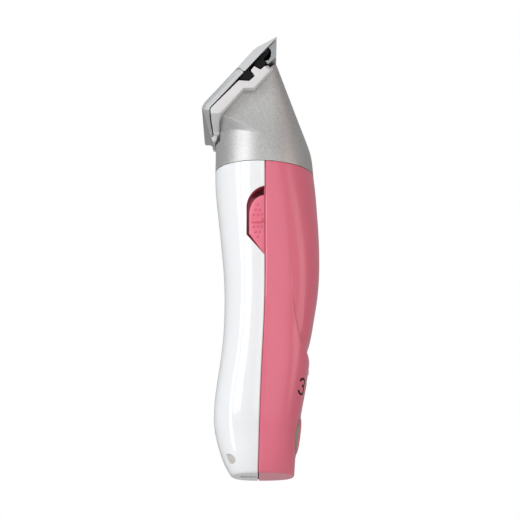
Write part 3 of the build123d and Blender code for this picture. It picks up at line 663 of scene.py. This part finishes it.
front_cover = shell("front_shell", 1)
dial_cut = lathe("dc", DP - DU * 7, DU, [(0, 0), (DIAL_R + 0.12, 0), (DIAL_R + 0.12, 14), (0, 14)], 128, False)
light_cut = tube_x("lc", 0, 43.0, 1.05, 10, 26, 48)
cut(front_cover, [dial_cut, light_cut])
weld(front_cover, 0.03)
edges(front_cover, 0.22, 3, 40)
finish_piece(front_cover, "front_cover", "pink")

# rubber plugs over the case screws: their faces follow the cover just under its surface


def rear_x(y, z, inset):
    xs = seam(z)
    p = exp_l(z)
    q = min(abs(y) / (depth(z) - inset), 0.999)
    return xs - (xs - rear(z) - inset) * (1 - q ** p) ** (1 / p)


def plug(y0, z0, r):
    v, f, rows = [], [], []
    n = 48
    for fr, ins in ((0.0, 0.42), (0.35, 0.43), (0.7, 0.46), (0.88, 0.52), (0.97, 0.62), (1.0, 0.80)):
        row = []
        for i in range(n if fr else 1):
            a = 2 * math.pi * i / n
            y, z = y0 + r * fr * math.cos(a), z0 + r * fr * math.sin(a)
            row.append(len(v))
            v.append((rear_x(y, z, ins), y, z))
        rows.append(row)
    row = []
    for i in range(n):
        a = 2 * math.pi * i / n
        row.append(len(v))
        v.append((-9.2, y0 + r * math.cos(a), z0 + r * math.sin(a)))
    rows.append(row)
    for a, b in zip(rows, rows[1:]):
        for i in range(n):
            j = (i + 1) % n
            f.append([a[0], b[i], b[j]] if len(a) == 1 else [a[i], b[i], b[j], a[j]])
    f.append(rows[-1])
    return new_obj("plug", v, f)


finish_piece(join("screw_plug_pair", [plug(sy * SCREW_Y, SCREW_Z, 2.02) for sy in (-1, 1)]), "screw_plugs", "plug")


def hidden_piece(ob, mat, body):
    ob.data.materials.clear()
    ob.data.materials.append(M[mat])
    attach(ob, body)
    return ob


def seam_tongue(sy):
    """The front half's tongue, seen at the bottom of the groove between the halves; its dark maroon colour, darker
    than the pink half, is painted shade in the groove.
    """
    v, f, rows = [], [], []
    z = 0.7
    while z < 127.0:
        xs = seam(z)
        yo, yi = sy * (depth(z) - 0.42), sy * (depth(z) - 1.8)
        rows.append([len(v) + k for k in range(6)])
        v += [(xs - 0.5, yo, z), (xs - 0.15, yo + sy * 0.05, z), (xs + 0.15, yo + sy * 0.05, z), (xs + 0.5, yo, z), (xs + 0.5, yi, z), (xs - 0.5, yi, z)]
        z += 1.5
    for a, b in zip(rows, rows[1:]):
        for i in range(6):
            j = (i + 1) % 6
            f.append([a[i], a[j], b[j], b[i]])
    f.append(rows[0][::-1])
    f.append(rows[-1])
    return new_obj("tongue", v, f)


# the tongue's dark maroon is painted shade in the seam groove
hidden_piece(join("seam_tongue", [seam_tongue(-1), seam_tongue(1)]), "pink_painted_shade", "handle")


def slide_well():
    """Lining of the switch recess: a thin wall behind the white edge and the two ends of its floor, coloured dark
    maroon as painted shade inside the recess.
    """
    inn = fine(WELL, 0.5)
    out = inset_poly(inn, -0.29)
    ids = [i for i, q in enumerate(inn) if q[0] <= 0.35]
    v, f = [], []
    for i in ids:
        (x, z), (x2, z2) = inn[i], out[i]
        yt, y2 = side_y(x, z) + 0.30, side_y(x2, z2) + 0.34
        v += [(x, yt, z), (x, -14.9, z), (x2, -14.9, z2), (x2, y2, z2)]
    for k in range(len(ids) - 1):
        for j in range(4):
            a, b = 4 * k + j, 4 * k + (j + 1) % 4
            f.append([a, b, b + 4, a + 4])
    m = 4 * (len(ids) - 1)
    f.append([3, 2, 1, 0])
    f.append([m, m + 1, m + 2, m + 3])
    wall = new_obj("lw", v, f, False)
    up_f = prism("lu", [(-7.4, 112.6), (2.4, 112.6), (2.4, 118.2), (-1.5, 117.6), (-5.0, 116.0), (-7.4, 113.5)], -12.95, -12.5)
    dn_f = prism("ld", [(-3.5, 88.4), (2.4, 88.4), (2.4, 84.8), (-1.0, 85.6)], -12.95, -12.5)
    return join("slide_well", [wall, up_f, dn_f])


# the lining's dark maroon is painted shade inside the switch recess
sw = hidden_piece(slide_well(), "pink_painted_shade", "handle")
sw.data.set_sharp_from_angle(angle=math.radians(35))

# ------------------------------------------------------------------- head
BLADE_ANGLE = math.radians(48.5)
CA, SA = math.cos(BLADE_ANGLE), math.sin(BLADE_ANGLE)
BO = (-24.7, 151.3)


def bl(s, n):
    return (BO[0] + s * CA - n * SA, BO[1] + s * SA + n * CA)


HW = (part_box("fixed_blade")[1].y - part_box("fixed_blade")[0].y) / 2 / MM
HEAD_FRONT = [(120, 21.5), (128, 20.75), (132, 20.4), (135.5, 19.85), (138.5, 18.9), (142, 17.6), (146, 16.05), (151, 14.1),
              (157, 11.8), (162, 9.85), (167, 7.9), (172.4, 5.8), (176, 4.4)]
HEAD_HALF = [(120, 21.1), (128, 21.4), (132, 21.3), (137, 20.8), (143, 20.1), (150, 19.6), (176, 19.2)]
HEAD_EXP_R = [(120, 2.05), (135, 2.1), (145, 2.4), (155, 2.7), (165, 3.0), (176, 3.2)]
HEAD_EXP_L = [(120, 2.05), (132, 2.05), (136, 2.2), (140, 2.9), (144, 4.4), (148, 7.0), (152, 9.0), (176, 9.0)]
HEAD_REAR = [(120, -20.3), (128, -20.4), (135, -20.3), (176, -20.3)]
hf, hh, her, hel, hre = smoothed(curve(HEAD_FRONT), 1.5), smoothed(curve(HEAD_HALF), 3), smoothed(curve(HEAD_EXP_R), 3), smoothed(curve(HEAD_EXP_L), 1.5), curve(HEAD_REAR)


def head_point(t, z, inset=0.0):
    r = math.radians(t)
    c, s = math.cos(r), math.sin(r)
    xs = min(0.52, hf(z) - 6)
    if c >= 0:
        p, a = her(z), hf(z) - inset - xs
    else:
        p, a = hel(z), xs - hre(z) - inset
    b = hh(z) - inset
    return xs + a * math.copysign(abs(c) ** (2 / p), c), -b * math.copysign(abs(s) ** (2 / p), s)


def shoulder(t, z, inset):
    """Rear half of the head: round collar below, squared block above, with a slanting flat between them."""
    xs = min(0.52, hf(z) - 6)
    a, b = xs - hre(z) - inset, hh(z) - inset
    r = math.radians(t)
    c, s = abs(math.cos(r)), math.copysign(1.0, math.sin(r))
    q = 1 - (1 - c) ** 1.9
    x = xs - a * q
    low = 144.0 - 0.316 * (x + 16.64)
    high = max(147.8 - 0.542 * (x + 16.65), low + 0.5)
    u = min(max((z - low) / (high - low), 0.0), 1.0)
    yr = (1 - q ** 2.05) ** (1 / 2.05) if q < 1 else 0.0
    ysq = (1 - q ** 8.0) ** (1 / 8.0) if q < 1 else 0.0
    return x, -s * b * ((1 - u) * yr + u * ysq)


def head_loft(name, inset, z0, z1, dz, n=180):
    zs = []
    z = z0
    while z < z1:
        zs.append(z)
        z += dz
    zs.append(z1)
    v, f, rows = [], [], []
    for z in zs:
        p = hel(z)
        row = []
        for i in range(n):
            t = 360.0 * i / n
            # even out the spacing round the squared corners
            x, y = head_point(t, z, inset)
            if x < 0.4:
                x, y = shoulder(t, z, inset)
            row.append(len(v))
            v.append((x, y, z))
        rows.append(row)
    for a, b in zip(rows, rows[1:]):
        for i in range(n):
            j = (i + 1) % n
            f.append([a[i], a[j], b[j], b[i]])
    f.append(rows[0][::-1])
    f.append(rows[-1])
    return new_obj(name, v, f)


CR_UP = [(1.6, -3.7), (11.5, -3.7), (17.2, -3.9), (19.9, -7.3), (23.3, -7.6), (23.8, -4.7), (26.1, -4.5), (26.7, -7.5),
         (30.8, -7.95), (30.8, -10.8)]
CR_LO = [(18.9, -10.8), (16.1, -7.7), (3.2, -7.7)]
up = [bl(*p) for p in CR_UP]
lo = [bl(*p) for p in CR_LO]
head = head_loft("head_shell", 0.0, 120.0, 175.0, 0.5, 240)
ring_keep = new_obj("rk", [(x, y, (RING_Z + 0.06 - x * RING_T) if k == 0 else 200.0) for k in (0, 1) for x, y in ((-60, -60), (60, -60), (60, 60), (-60, 60))],
                    [[0, 3, 2, 1], [4, 5, 6, 7], [0, 1, 5, 4], [1, 2, 6, 5], [2, 3, 7, 6], [3, 0, 4, 7]], False)
under = prism("un", [(-40, 90), (-40, 143.4), (-18.55, 143.4), (-18.55, 146.55)] + list(reversed(lo))
              + [bl(30.9, -10.82), bl(30.9, -8.9), bl(36.1, -9.0), (60, 150), (60, 90)], -40, 40)
cut(head, [ring_keep, under], "INTERSECT")
inner = head_loft("hi", 2.0, 121.0, 168.0, 2.0, 96)
under_in = prism("ui", [(-16.6, 90), (-16.3, 145.2), bl(4.6, -9.7), bl(15.3, -9.7), bl(18.1, -12.8), bl(33.2, -12.8), (60, 130), (60, 90)], -40, 40)
cut(inner, [under_in], "INTERSECT")
win1 = prism("w1", [bl(25.0, 0), bl(25.0, -14), bl(31.4, -14), bl(33.6, -11), bl(33.6, 0)], -7.2, 7.2)
win2 = prism("w2", [bl(14.0, 0), bl(14.0, -14), bl(26.0, -14), bl(26.0, 0)], -10.8, 10.8)
pocket = new_obj("hp", [(x, y, z) for x in (-40, -18.3) for y in (-9.7, 9.7) for z in (139.9, 143.6)],
                 [[0, 1, 3, 2], [4, 6, 7, 5], [0, 4, 5, 1], [2, 3, 7, 6], [0, 2, 6, 4], [1, 5, 7, 3]], False)
cut(head, [inner, win1, win2, pocket])
weld(head, 0.12)
edges(head, 0.32, 3, 30)
finish_piece(head, "head_casing", "silver")

# ------------------------------------------------------------------ cradle


HINGE = (-20.7, 141.5)


def half_mask(name, half):
    """Y-Z outline given by its +Y flank from the top down, pushed along X."""
    return slab(name, [(-HW, 190), (HW, 190)] + half + [(-y, z) for y, z in reversed(half)], -60, 60)


def knuckle(name, r, y0, y1, n=40):
    return prism(name, [(HINGE[0] + r * math.cos(2 * math.pi * i / n), HINGE[1] + r * math.sin(2 * math.pi * i / n)) for i in range(n)], y0, y1)


def arc_pts(p0, p1, p2, r, n=6):
    """Points that round the corner p1 between p0 and p2."""
    a, b, c = Vector(p0), Vector(p1), Vector(p2)
    u, w = (a - b).normalized(), (c - b).normalized()
    ang = u.angle(w)
    d = r / math.tan(ang / 2)
    s, e = b + u * d, b + w * d
    bis = (u + w).normalized()
    o = b + bis * (r / math.sin(ang / 2))
    a0 = math.atan2(s.y - o.y, s.x - o.x)
    a1 = math.atan2(e.y - o.y, e.x - o.x)
    while a1 - a0 > math.pi:
        a1 -= 2 * math.pi
    while a1 - a0 < -math.pi:
        a1 += 2 * math.pi
    return [(o.x + r * math.cos(a0 + (a1 - a0) * k / n), o.y + r * math.sin(a0 + (a1 - a0) * k / n)) for k in range(n + 1)]


corner_o = arc_pts((-21.9, 147.2), (-22.1, 149.35), bl(6.0, -3.7), 1.6, 8)
corner_i = arc_pts(bl(8.0, -7.7), bl(0.6, -7.75), (-18.6, 143.2), 2.2, 8)
cradle_pts = corner_o + up[1:] + [lo[0], lo[1]] + corner_i + [(-18.6, 142.95), (-20.85, 142.95), (-21.2, 144.0), (-21.9, 147.0)]
cradle = prism("cradle_frame", cradle_pts, -HW, HW)
cut(cradle, [half_mask("tm", [(HW, 147.2), (19.6, 146.4), (16.0, 145.3), (12.3, 144.5), (9.0, 144.0), (8.0, 142.0)])], "INTERSECT")
cut(cradle, [prism("cw", [bl(12.6, 4), bl(12.6, -14), bl(40, -14), bl(40, 4)], -11, 11)])
ends = []
for sy in (-1, 1):
    w = new_obj("we", [(bl(ss, n)[0], sy * yy, bl(ss, n)[1]) for n in (-2.0, -14.0) for ss, yy in ((28.9, HW + 0.02), (33.5, HW + 0.02), (33.5, 17.8), (30.9, 20.6))],
                [[0, 1, 2, 3], [7, 6, 5, 4], [0, 4, 5, 1], [1, 5, 6, 2], [2, 6, 7, 3], [3, 7, 4, 0]], False)
    ends.append(w)
cut(cradle, ends)
weld(cradle, 0.02)
edges(cradle, 0.28, 3, 26, weighted=False)
lugs = [cradle]
for sy in (-1, 1):
    y0, y1 = sorted((sy * 5.15, sy * 7.6))
    lugs.append(edges(knuckle("lg", 1.05, y0, y1), 0.12, 2, 40, weighted=False))
    lugs.append(prism("lp", [(-21.55, 141.5), (-19.8, 141.5), (-19.2, 143.3), (-20.95, 143.3)], y0 + 0.1, y1 - 0.1))
cradle = join("cradle_frame", lugs)
cradle.data.set_sharp_from_angle(angle=math.radians(34))
finish_piece(cradle, "blade_cradle", "cradle")

# ------------------------------------------------------------------ blade set
fixed = prism("comb", [bl(21.45, 0.0), bl(21.75, 0.3), bl(26.0, 0.42), bl(31.0, 0.42), bl(33.1, 0.15), bl(42.0, -2.93), bl(42.05, -3.05), bl(22.0, -3.05), bl(21.45, -2.6)], -HW, HW)
pitch, gap, ns = 1.76, 0.9, 26
slots = []
for k in range(ns):
    y = (k - (ns - 1) / 2) * pitch
    root = [bl(33.4 + gap / 2 * (1 - math.cos(a)) - 0.0, 0) for a in (0,)]
    slots.append(prism("s%d" % k, [bl(33.6, 3), bl(33.6, -5), bl(44, -5), bl(44, 3)], y - gap / 2, y + gap / 2))
cut(fixed, [join("slots", slots)])
SCR = [(24.3, 8.0), (24.3, -8.0), (16.5, 8.0), (16.5, -8.0)]


def screw_hole(name, s, y):
    x, z = bl(s, -8)
    return lathe(name, (x, y, z), (-SA, 0, CA), [(0, 0), (1.25, 0), (1.25, 6.7), (2.5, 8.0), (2.5, 9.0), (0, 9.0)], 48, False)


cut(fixed, [screw_hole("sh0", *SCR[0]), screw_hole("sh1", *SCR[1])])
edges(fixed, 0.10, 2, 30)
finish_piece(fixed, "fixed_blade", "blade")

c_out = arc_pts(bl(6.0, 0.3), bl(0.45, 0.3), (-25.75, 149.7), 0.7, 4) + arc_pts(bl(0.45, 0.3), (-25.75, 149.7), (-21.7, 141.5), 0.8, 4)
c_in = arc_pts((-22.45, 147.3), (-22.4, 149.55), bl(6.0, -3.05), 1.4, 6)
base_pts = ([bl(21.35, 0.0), bl(21.05, 0.3)] + c_out + [(-21.7, 141.5), (-20.7, 141.5), (-20.95, 142.5), (-21.6, 143.6), (-22.45, 147.3)]
            + c_in + [bl(21.05, -3.05), bl(21.35, -2.7)])
base = prism("blade_plate", base_pts, -HW, HW)
cut(base, [half_mask("tm2", [(HW, 148.6), (19.5, 147.5), (16.0, 146.2), (12.0, 144.9), (8.6, 143.9), (7.9, 143.2), (5.0, 143.0), (5.0, 138.0)])], "INTERSECT")
cut(base, [screw_hole("sh2", *SCR[2]), screw_hole("sh3", *SCR[3])])
weld(base, 0.02)
edges(base, 0.30, 3, 26, weighted=False)
base = join("blade_plate", [base, edges(knuckle("kn", 1.05, -5.0, 5.0), 0.12, 2, 40, weighted=False)])
base.data.set_sharp_from_angle(angle=math.radians(34))
finish_piece(base, "blade_base_plate", "plate")

guide = prism("guide_bar", [bl(18.6, -3.15), bl(22.2, -3.15), bl(23.5, -3.9), bl(22.8, -7.0), bl(20.4, -6.8), bl(18.0, -4.1)], -22.6, 22.6)
edges(guide, 0.18, 2, 26)
guide2 = prism("guide_block", [bl(14.0, -3.16), bl(26.0, -3.16), bl(26.0, -7.2), bl(14.0, -7.2)], -10.4, 10.4)
edges(guide2, 0.3, 2, 26)
finish_piece(guide, "blade_guide", "black")
guide2.data.materials.append(M["black"])
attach(guide2, "blade_set")

CW = (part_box("moving_blade")[1].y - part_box("moving_blade")[0].y) / 2 / MM
cutter = prism("cutter_blade", [bl(41.0, -3.15), bl(35.35, -8.3), bl(31.0, -7.75), bl(31.4, -6.0), bl(32.6, -6.9), bl(34.4, -6.4), bl(35.8, -5.4), bl(36.5, -4.3), bl(36.6, -3.15)], -CW, CW)
slots = []
for k in range(18):
    y = (k - 17 / 2) * 2.34
    slots.append(prism("t%d" % k, [bl(37.6, -1), bl(37.6, -4.1), bl(36.2, -9.5), bl(45, -9.5), bl(45, -1)], y - 0.55, y + 0.55))
cut(cutter, [join("slots2", slots)])
edges(cutter, 0.07, 2, 30)
finish_piece(cutter, "moving_blade", "cutter")

carrier = prism("carrier_bar", [bl(36.42, -3.17), bl(36.32, -4.1), bl(34.5, -4.9), bl(31.8, -4.9), bl(31.2, -5.6), bl(30.9, -6.95), bl(27.4, -6.8), bl(26.9, -3.9), bl(28.1, -3.17)], -CW, CW)
edges(carrier, 0.2, 2, 26)
finish_piece(carrier, "blade_carrier", "black")
prongs = []
for sy in (-1, 1):
    a, b = sorted((sy * 1.75, sy * 4.4))
    p = prism("pr", [bl(27.6, -6.0), bl(27.6, -13.0), bl(30.6, -13.0), bl(30.6, -6.0)], a, b)
    edges(p, 0.3, 2, 26, weighted=False)
    prongs.append(p)
prongs = join("carrier_prongs", prongs)
prongs.data.materials.append(M["black"])
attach(prongs, "cutter")

# ---------------------------------------------------------------- power slide
BT = d_outline(113.0, 87.7, -6.1, 105.0, 97.2, 0.3, 22)


def power_button():
    base_o = fine(BT, 0.5)
    rings = []
    r = 0.45
    for k in range(5):
        a = math.pi / 2 * k / 4
        rings.append((r * (1 - math.sin(a)) , r * (1 - math.cos(a))))
    v, f, rr = [], [], []

    def top_y(x, z):
        return side_y(x, z) + 0.28

    # from the inner end outwards
    specs = [(0.0, None)] + [(0.0, "edge")]
    row = []
    for x, z in base_o:
        row.append(len(v)); v.append((x, -14.6, z))
    rr.append(row)
    steps = [(0.0, r)] + [(r * (1 - math.cos(math.pi / 2 * k / 4)), r * (1 - math.sin(math.pi / 2 * k / 4))) for k in range(1, 5)]
    for ins, dep in steps:
        o = inset_poly(base_o, ins) if ins > 0 else base_o
        row = []
        for x, z in o:
            row.append(len(v)); v.append((x, top_y(x, z) + dep, z))
        rr.append(row)
    for frac in (0.15, 0.3, 0.45, 0.6, 0.75, 0.9):
        cx, cz = -2.4, 100.6
        o = inset_poly(base_o, r)
        row = []
        for x, z in o:
            x2, z2 = x + (cx - x) * frac, z + (cz - z) * frac
            row.append(len(v)); v.append((x2, top_y(x2, z2), z2))
        rr.append(row)
    n = len(base_o)
    for a, b in zip(rr, rr[1:]):
        for i in range(n):
            j = (i + 1) % n
            f.append([a[i], a[j], b[j], b[i]])
    f.append(rr[0][::-1])
    f.append(rr[-1])
    parts = [new_obj("pb", v, f)]
    # grip pips: triangles above and below the bar
    rows_up = [(109.0, 1), (106.9, 2), (104.9, 3)]
    rows_dn = [(99.8, 3), (97.7, 2), (95.7, 1)]
    for z, c in rows_up + rows_dn:
        for k in range(c):
            x = -2.85 + (k - (c - 1) / 2) * 1.62
            o = Vector((x, side_y(x, z) + 0.28 + 0.12, z))
            nx = (side_y(x + 0.2, z) - side_y(x - 0.2, z)) / 0.4
            ax = Vector((nx, -1, 0)).normalized()
            parts.append(lathe("pip", o, ax, [(0.50, 0.0), (0.47, 0.18), (0.38, 0.30), (0.22, 0.38), (0, 0.41)] if False else
                               [(0, 0), (0.56, 0.0), (0.55, 0.30), (0.47, 0.46), (0.28, 0.56), (0, 0.60)], 20))
    # cross bar: a rib with a steep lower flank
    m = 26
    prof = [(103.8, -0.3), (103.6, 0.02), (103.3, 0.20), (102.7, 0.56), (102.1, 0.88), (101.75, 1.00), (101.56, 0.90), (101.48, 0.3), (101.46, -0.3)]
    v, f = [], []
    for i in range(m + 1):
        x = -5.35 + (4.95) * i / m
        e = min(i, m - i) / 2.0
        k = 0.35 + 0.65 * min(e, 1.0)
        for z, h in prof:
            zz = 102.4 + (z - 102.4) * (0.7 + 0.3 * min(e, 1.0))
            v.append((x, side_y(x, zz) + 0.28 - h * k if h > 0 else side_y(x, zz) + 0.28 - h, zz))
    q = len(prof)
    for i in range(m):
        for j in range(q):
            a, b = i * q + j, i * q + (j + 1) % q
            f.append([a, b, b + q, a + q])
    f.append(list(range(q))[::-1])
    f.append([m * q + j for j in range(q)])
    parts.append(new_obj("bar", v, f))
    # flange behind the wall and the dark back of the recess
    fl = new_obj("fl", [(x, y, z) for x in (-7.5, 3.0) for y in (-14.35, -13.1) for z in (86.8, 113.4)],
                 [[0, 1, 3, 2], [4, 6, 7, 5], [0, 4, 5, 1], [2, 3, 7, 6], [0, 2, 6, 4], [1, 5, 7, 3]], False)
    parts.append(fl)
    ob = join("slide_button", parts)
    return ob


pb = power_button()
pb.data.set_sharp_from_angle(angle=math.radians(38))
finish_piece(pb, "power_button", "button")

# --------------------------------------------------------------- speed button
bz = lathe("key_ring", DP, DU, [(DIAL_R, -2.6), (DIAL_R, 0.20), (DIAL_R - 0.05, 0.29), (DIAL_R - 0.16, 0.35), (DIAL_R - 0.98, 0.35),
                                (DIAL_R - 1.09, 0.30), (DIAL_R - 1.15, 0.2), (DIAL_R - 1.15, -2.6)], 160)
bz.data.set_sharp_from_angle(angle=math.radians(40))
finish_piece(bz, "button_bezel", "ring")
RB_ = DIAL_R - 1.35
prof = [(0, -1.4), (RB_, -1.4), (RB_, 0.35), (RB_ - 0.10, 0.48), (RB_ - 0.35, 0.60), (RB_ - 0.8, 0.73), (RB_ - 1.4, 0.85), (RB_ - 2.1, 0.95),
        (RB_ - 2.9, 1.03), (RB_ - 3.8, 1.085), (RB_ - 4.7, 1.12), (1.8, 1.14), (0, 1.15)]
sb = lathe("speed_key", DP, DU, prof, 160)
sb.data.set_sharp_from_angle(angle=math.radians(45))
finish_piece(sb, "speed_button", "button")

# -------------------------------------------------------------- printed digits
STROKE = 0.86


def digit(kind):
    """Centre lines in a 4.4 x 6.7 box, millimetres, u to the reader's right, w up."""
    if kind == "3":
        pts = [(0.35, 5.55), (0.75, 6.15), (1.5, 6.45), (2.3, 6.45), (3.1, 6.2), (3.65, 5.6), (3.75, 4.95), (3.5, 4.3), (2.9, 3.8), (2.1, 3.6)]
        low = [(2.1, 3.6), (3.0, 3.5), (3.75, 3.0), (4.1, 2.3), (4.0, 1.4), (3.45, 0.7), (2.6, 0.28), (1.7, 0.28), (0.85, 0.6), (0.3, 1.25)]
        return [pts, low]
    if kind == "2":
        return [[(0.4, 5.0), (0.7, 5.85), (1.4, 6.4), (2.3, 6.5), (3.2, 6.2), (3.75, 5.5), (3.75, 4.6), (3.3, 3.7), (2.3, 2.6), (1.2, 1.5), (0.4, 0.45)],
                [(0.4, 0.45), (4.0, 0.45)]]
    return [[(1.2, 5.3), (2.4, 6.4)], [(2.4, 6.4), (2.4, 0.2)]]


def smooth_line(pts, per=6):
    if len(pts) < 3:
        (a, b), out = pts, []
        return [(a[0] + (b[0] - a[0]) * k / 12, a[1] + (b[1] - a[1]) * k / 12) for k in range(13)]
    p = [pts[0]] + pts + [pts[-1]]
    out = []
    for i in range(1, len(p) - 2):
        for k in range(per):
            t = k / per
            out.append(tuple(0.5 * ((2 * p[i][c]) + (-p[i - 1][c] + p[i + 1][c]) * t + (2 * p[i - 1][c] - 5 * p[i][c] + 4 * p[i + 1][c] - p[i + 2][c]) * t * t
                                    + (-p[i - 1][c] + 3 * p[i][c] - 3 * p[i + 1][c] + p[i + 2][c]) * t**3) for c in (0, 1)))
    out.append(pts[-1])
    return out


def digit_mesh(kind, y_c, z0):
    v, f = [], []

    def on(u, w, h):
        y, z = y_c + (u - 2.2), z0 + w
        xs = seam(z)
        x = front_x(y, z)
        t = math.degrees(math.atan2(abs(y), max(x - xs, 0.1)))
        return (x + h, y, z)

    for line in digit(kind):
        ln = smooth_line(line)
        n = len(ln)
        L, R = [], []
        for i in range(n):
            a, b = Vector(ln[max(i - 1, 0)]), Vector(ln[min(i + 1, n - 1)])
            d = (b - a).normalized()
            nn = Vector((-d.y, d.x)) * STROKE / 2
            p = Vector(ln[i])
            L.append(p + nn)
            R.append(p - nn)
        # round ends
        def cap(p, d):
            c = []
            for k in range(1, 8):
                a = math.pi * k / 8
                c.append(p + Vector((-d.y, d.x)) * math.cos(a) * STROKE / 2 + d * math.sin(a) * STROKE / 2)
            return c
        d1 = (Vector(ln[-1]) - Vector(ln[-2])).normalized()
        d0 = (Vector(ln[0]) - Vector(ln[1])).normalized()
        end = cap(Vector(ln[-1]), d1)
        start = cap(Vector(ln[0]), d0)
        base = len(v)
        for h in (-0.10, 0.06):
            for q in L + R:
                v.append(on(q.x, q.y, h))
        m = 2 * n
        for i in range(n - 1):
            f.append([base + m + i, base + m + i + 1, base + m + n + i + 1, base + m + n + i])
            f.append([base + i, base + n + i, base + n + i + 1, base + i + 1])
            f.append([base + i, base + i + 1, base + m + i + 1, base + m + i])
            f.append([base + n + i, base + m + n + i, base + m + n + i + 1, base + n + i + 1])
        for pts_c, iL, iR in ((end, n - 1, 2 * n - 1), (start, n, 0)):
            b2 = len(v)
            for h in (-0.10, 0.06):
                for q in pts_c:
                    v.append(on(q.x, q.y, h))
            kc = len(pts_c)
            top = [base + m + iL] + [b2 + kc + k for k in range(kc)] + [base + m + iR]
            bot = [base + iL] + [b2 + k for k in range(kc)] + [base + iR]
            f.append(top)
            f.append(bot[::-1])
            for k in range(kc + 1):
                f.append([bot[k], bot[k + 1], top[k + 1], top[k]])
    ob = new_obj("digit_" + kind, v, f)
    ob.data.set_sharp_from_angle(angle=math.radians(50))
    ob.data.materials.append(M["ink"])
    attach(ob, "handle")
    return ob


digit_mesh("3", -11.0, 31.6)
digit_mesh("2", 0.0, 31.6)
digit_mesh("1", 11.0, 31.6)

# -------------------------------------------- CAD pieces kept: soften the edges
for n, ob in frame["nodes"].items():
    if ob.hide_render:
        continue
    w = ob.modifiers.new("weld", "WELD")
    w.merge_threshold = 0.000004
    b = ob.modifiers.new("edge", "BEVEL")
    b.width = 0.00010 if n in ("blade_screws", "case_screws", "charge_contacts", "tact_plunger", "blade_tension_spring", "screw_plugs") else 0.00015
    b.segments = 2
    b.limit_method = "ANGLE"
    b.angle_limit = math.radians(35)

# -------------------------------------------------------- floor, light, camera
fm, nt, b = material("m_floor", (0.86, 0.86, 0.86), 0.0, 0.6)
v = coords(nt)
nt.links.new(ramp(nt, noise(nt, v, 3.0, 4.0), [(0.3, (0.84, 0.84, 0.84)), (0.7, (0.87, 0.87, 0.87))]), b.inputs["Base Color"])
me = bpy.data.meshes.new("floor")
S = 6.0
me.from_pydata([(-S, -S, -0.15), (S, -S, -0.15), (S, S, -0.15), (-S, S, -0.15)], [], [[0, 1, 2, 3]])
floor = bpy.data.objects.new("floor", me)
scene.collection.objects.link(floor)
me.materials.append(fm)

world = bpy.data.worlds.new("studio")
scene.world = world
world.use_nodes = True
wn = world.node_tree
wn.nodes.clear()
wo = wn.nodes.new("ShaderNodeOutputWorld")
bg1 = wn.nodes.new("ShaderNodeBackground")
bg1.inputs["Color"].default_value = (1, 1, 1, 1)
bg1.inputs["Strength"].default_value = 1.0
bg2 = wn.nodes.new("ShaderNodeBackground")
bg2.inputs["Color"].default_value = (1, 1, 1, 1)
bg2.inputs["Strength"].default_value = 0.355
lp = wn.nodes.new("ShaderNodeLightPath")
mx = wn.nodes.new("ShaderNodeMixShader")
wn.links.new(lp.outputs["Is Camera Ray"], mx.inputs[0])
wn.links.new(bg2.outputs[0], mx.inputs[1])
wn.links.new(bg1.outputs[0], mx.inputs[2])
wn.links.new(mx.outputs[0], wo.inputs[0])


def area(name, loc, target, size, power, sy=None):
    l = bpy.data.lights.new(name, "AREA")
    l.energy = power
    if sy:
        l.shape = "RECTANGLE"
        l.size, l.size_y = size, sy
    else:
        l.size = size
    o = bpy.data.objects.new(name, l)
    o.location = loc
    d = Vector(target) - Vector(loc)
    o.rotation_euler = d.to_track_quat("-Z", "Y").to_euler()
    scene.collection.objects.link(o)
    return o


area("key", (-0.75, -0.75, 0.55), (0, 0, 0.09), 0.40, 5.2, 0.9)
area("strip", (-0.62, -0.30, 0.10), (0, 0, 0.09), 0.10, 1.3, 0.8)
area("fill", (0.20, -1.1, 0.35), (0, 0, 0.09), 0.8, 2.0)
wl = bpy.data.lights.new("warm", "POINT")
wl.energy = 5.6
wl.shadow_soft_size = 0.24
wl.color = (1.0, 0.76, 0.64)
warm = bpy.data.objects.new("warm", wl)
warm.location = (0.85, -0.55, 0.25)
scene.collection.objects.link(warm)
area("top", (0.0, 0.1, 1.1), (0, 0, 0.09), 0.9, 2.2)

cam_d = bpy.data.cameras.new("camera")
cam = bpy.data.objects.new("camera", cam_d)
scene.collection.objects.link(cam)
cam_d.lens = 1995.0 / 520.0 * 36.0
cam_d.sensor_width = 36.0
cam_d.clip_start, cam_d.clip_end = 0.05, 50.0
el = math.radians(15.0)
cam.location = (-0.001617, -0.830 * math.cos(el), 0.0908 - 0.830 * math.sin(el))
cam.rotation_euler = (math.radians(90) + el, 0, 0)
scene.camera = cam
scene.view_settings.view_transform = "Standard"
scene.view_settings.look = "None"
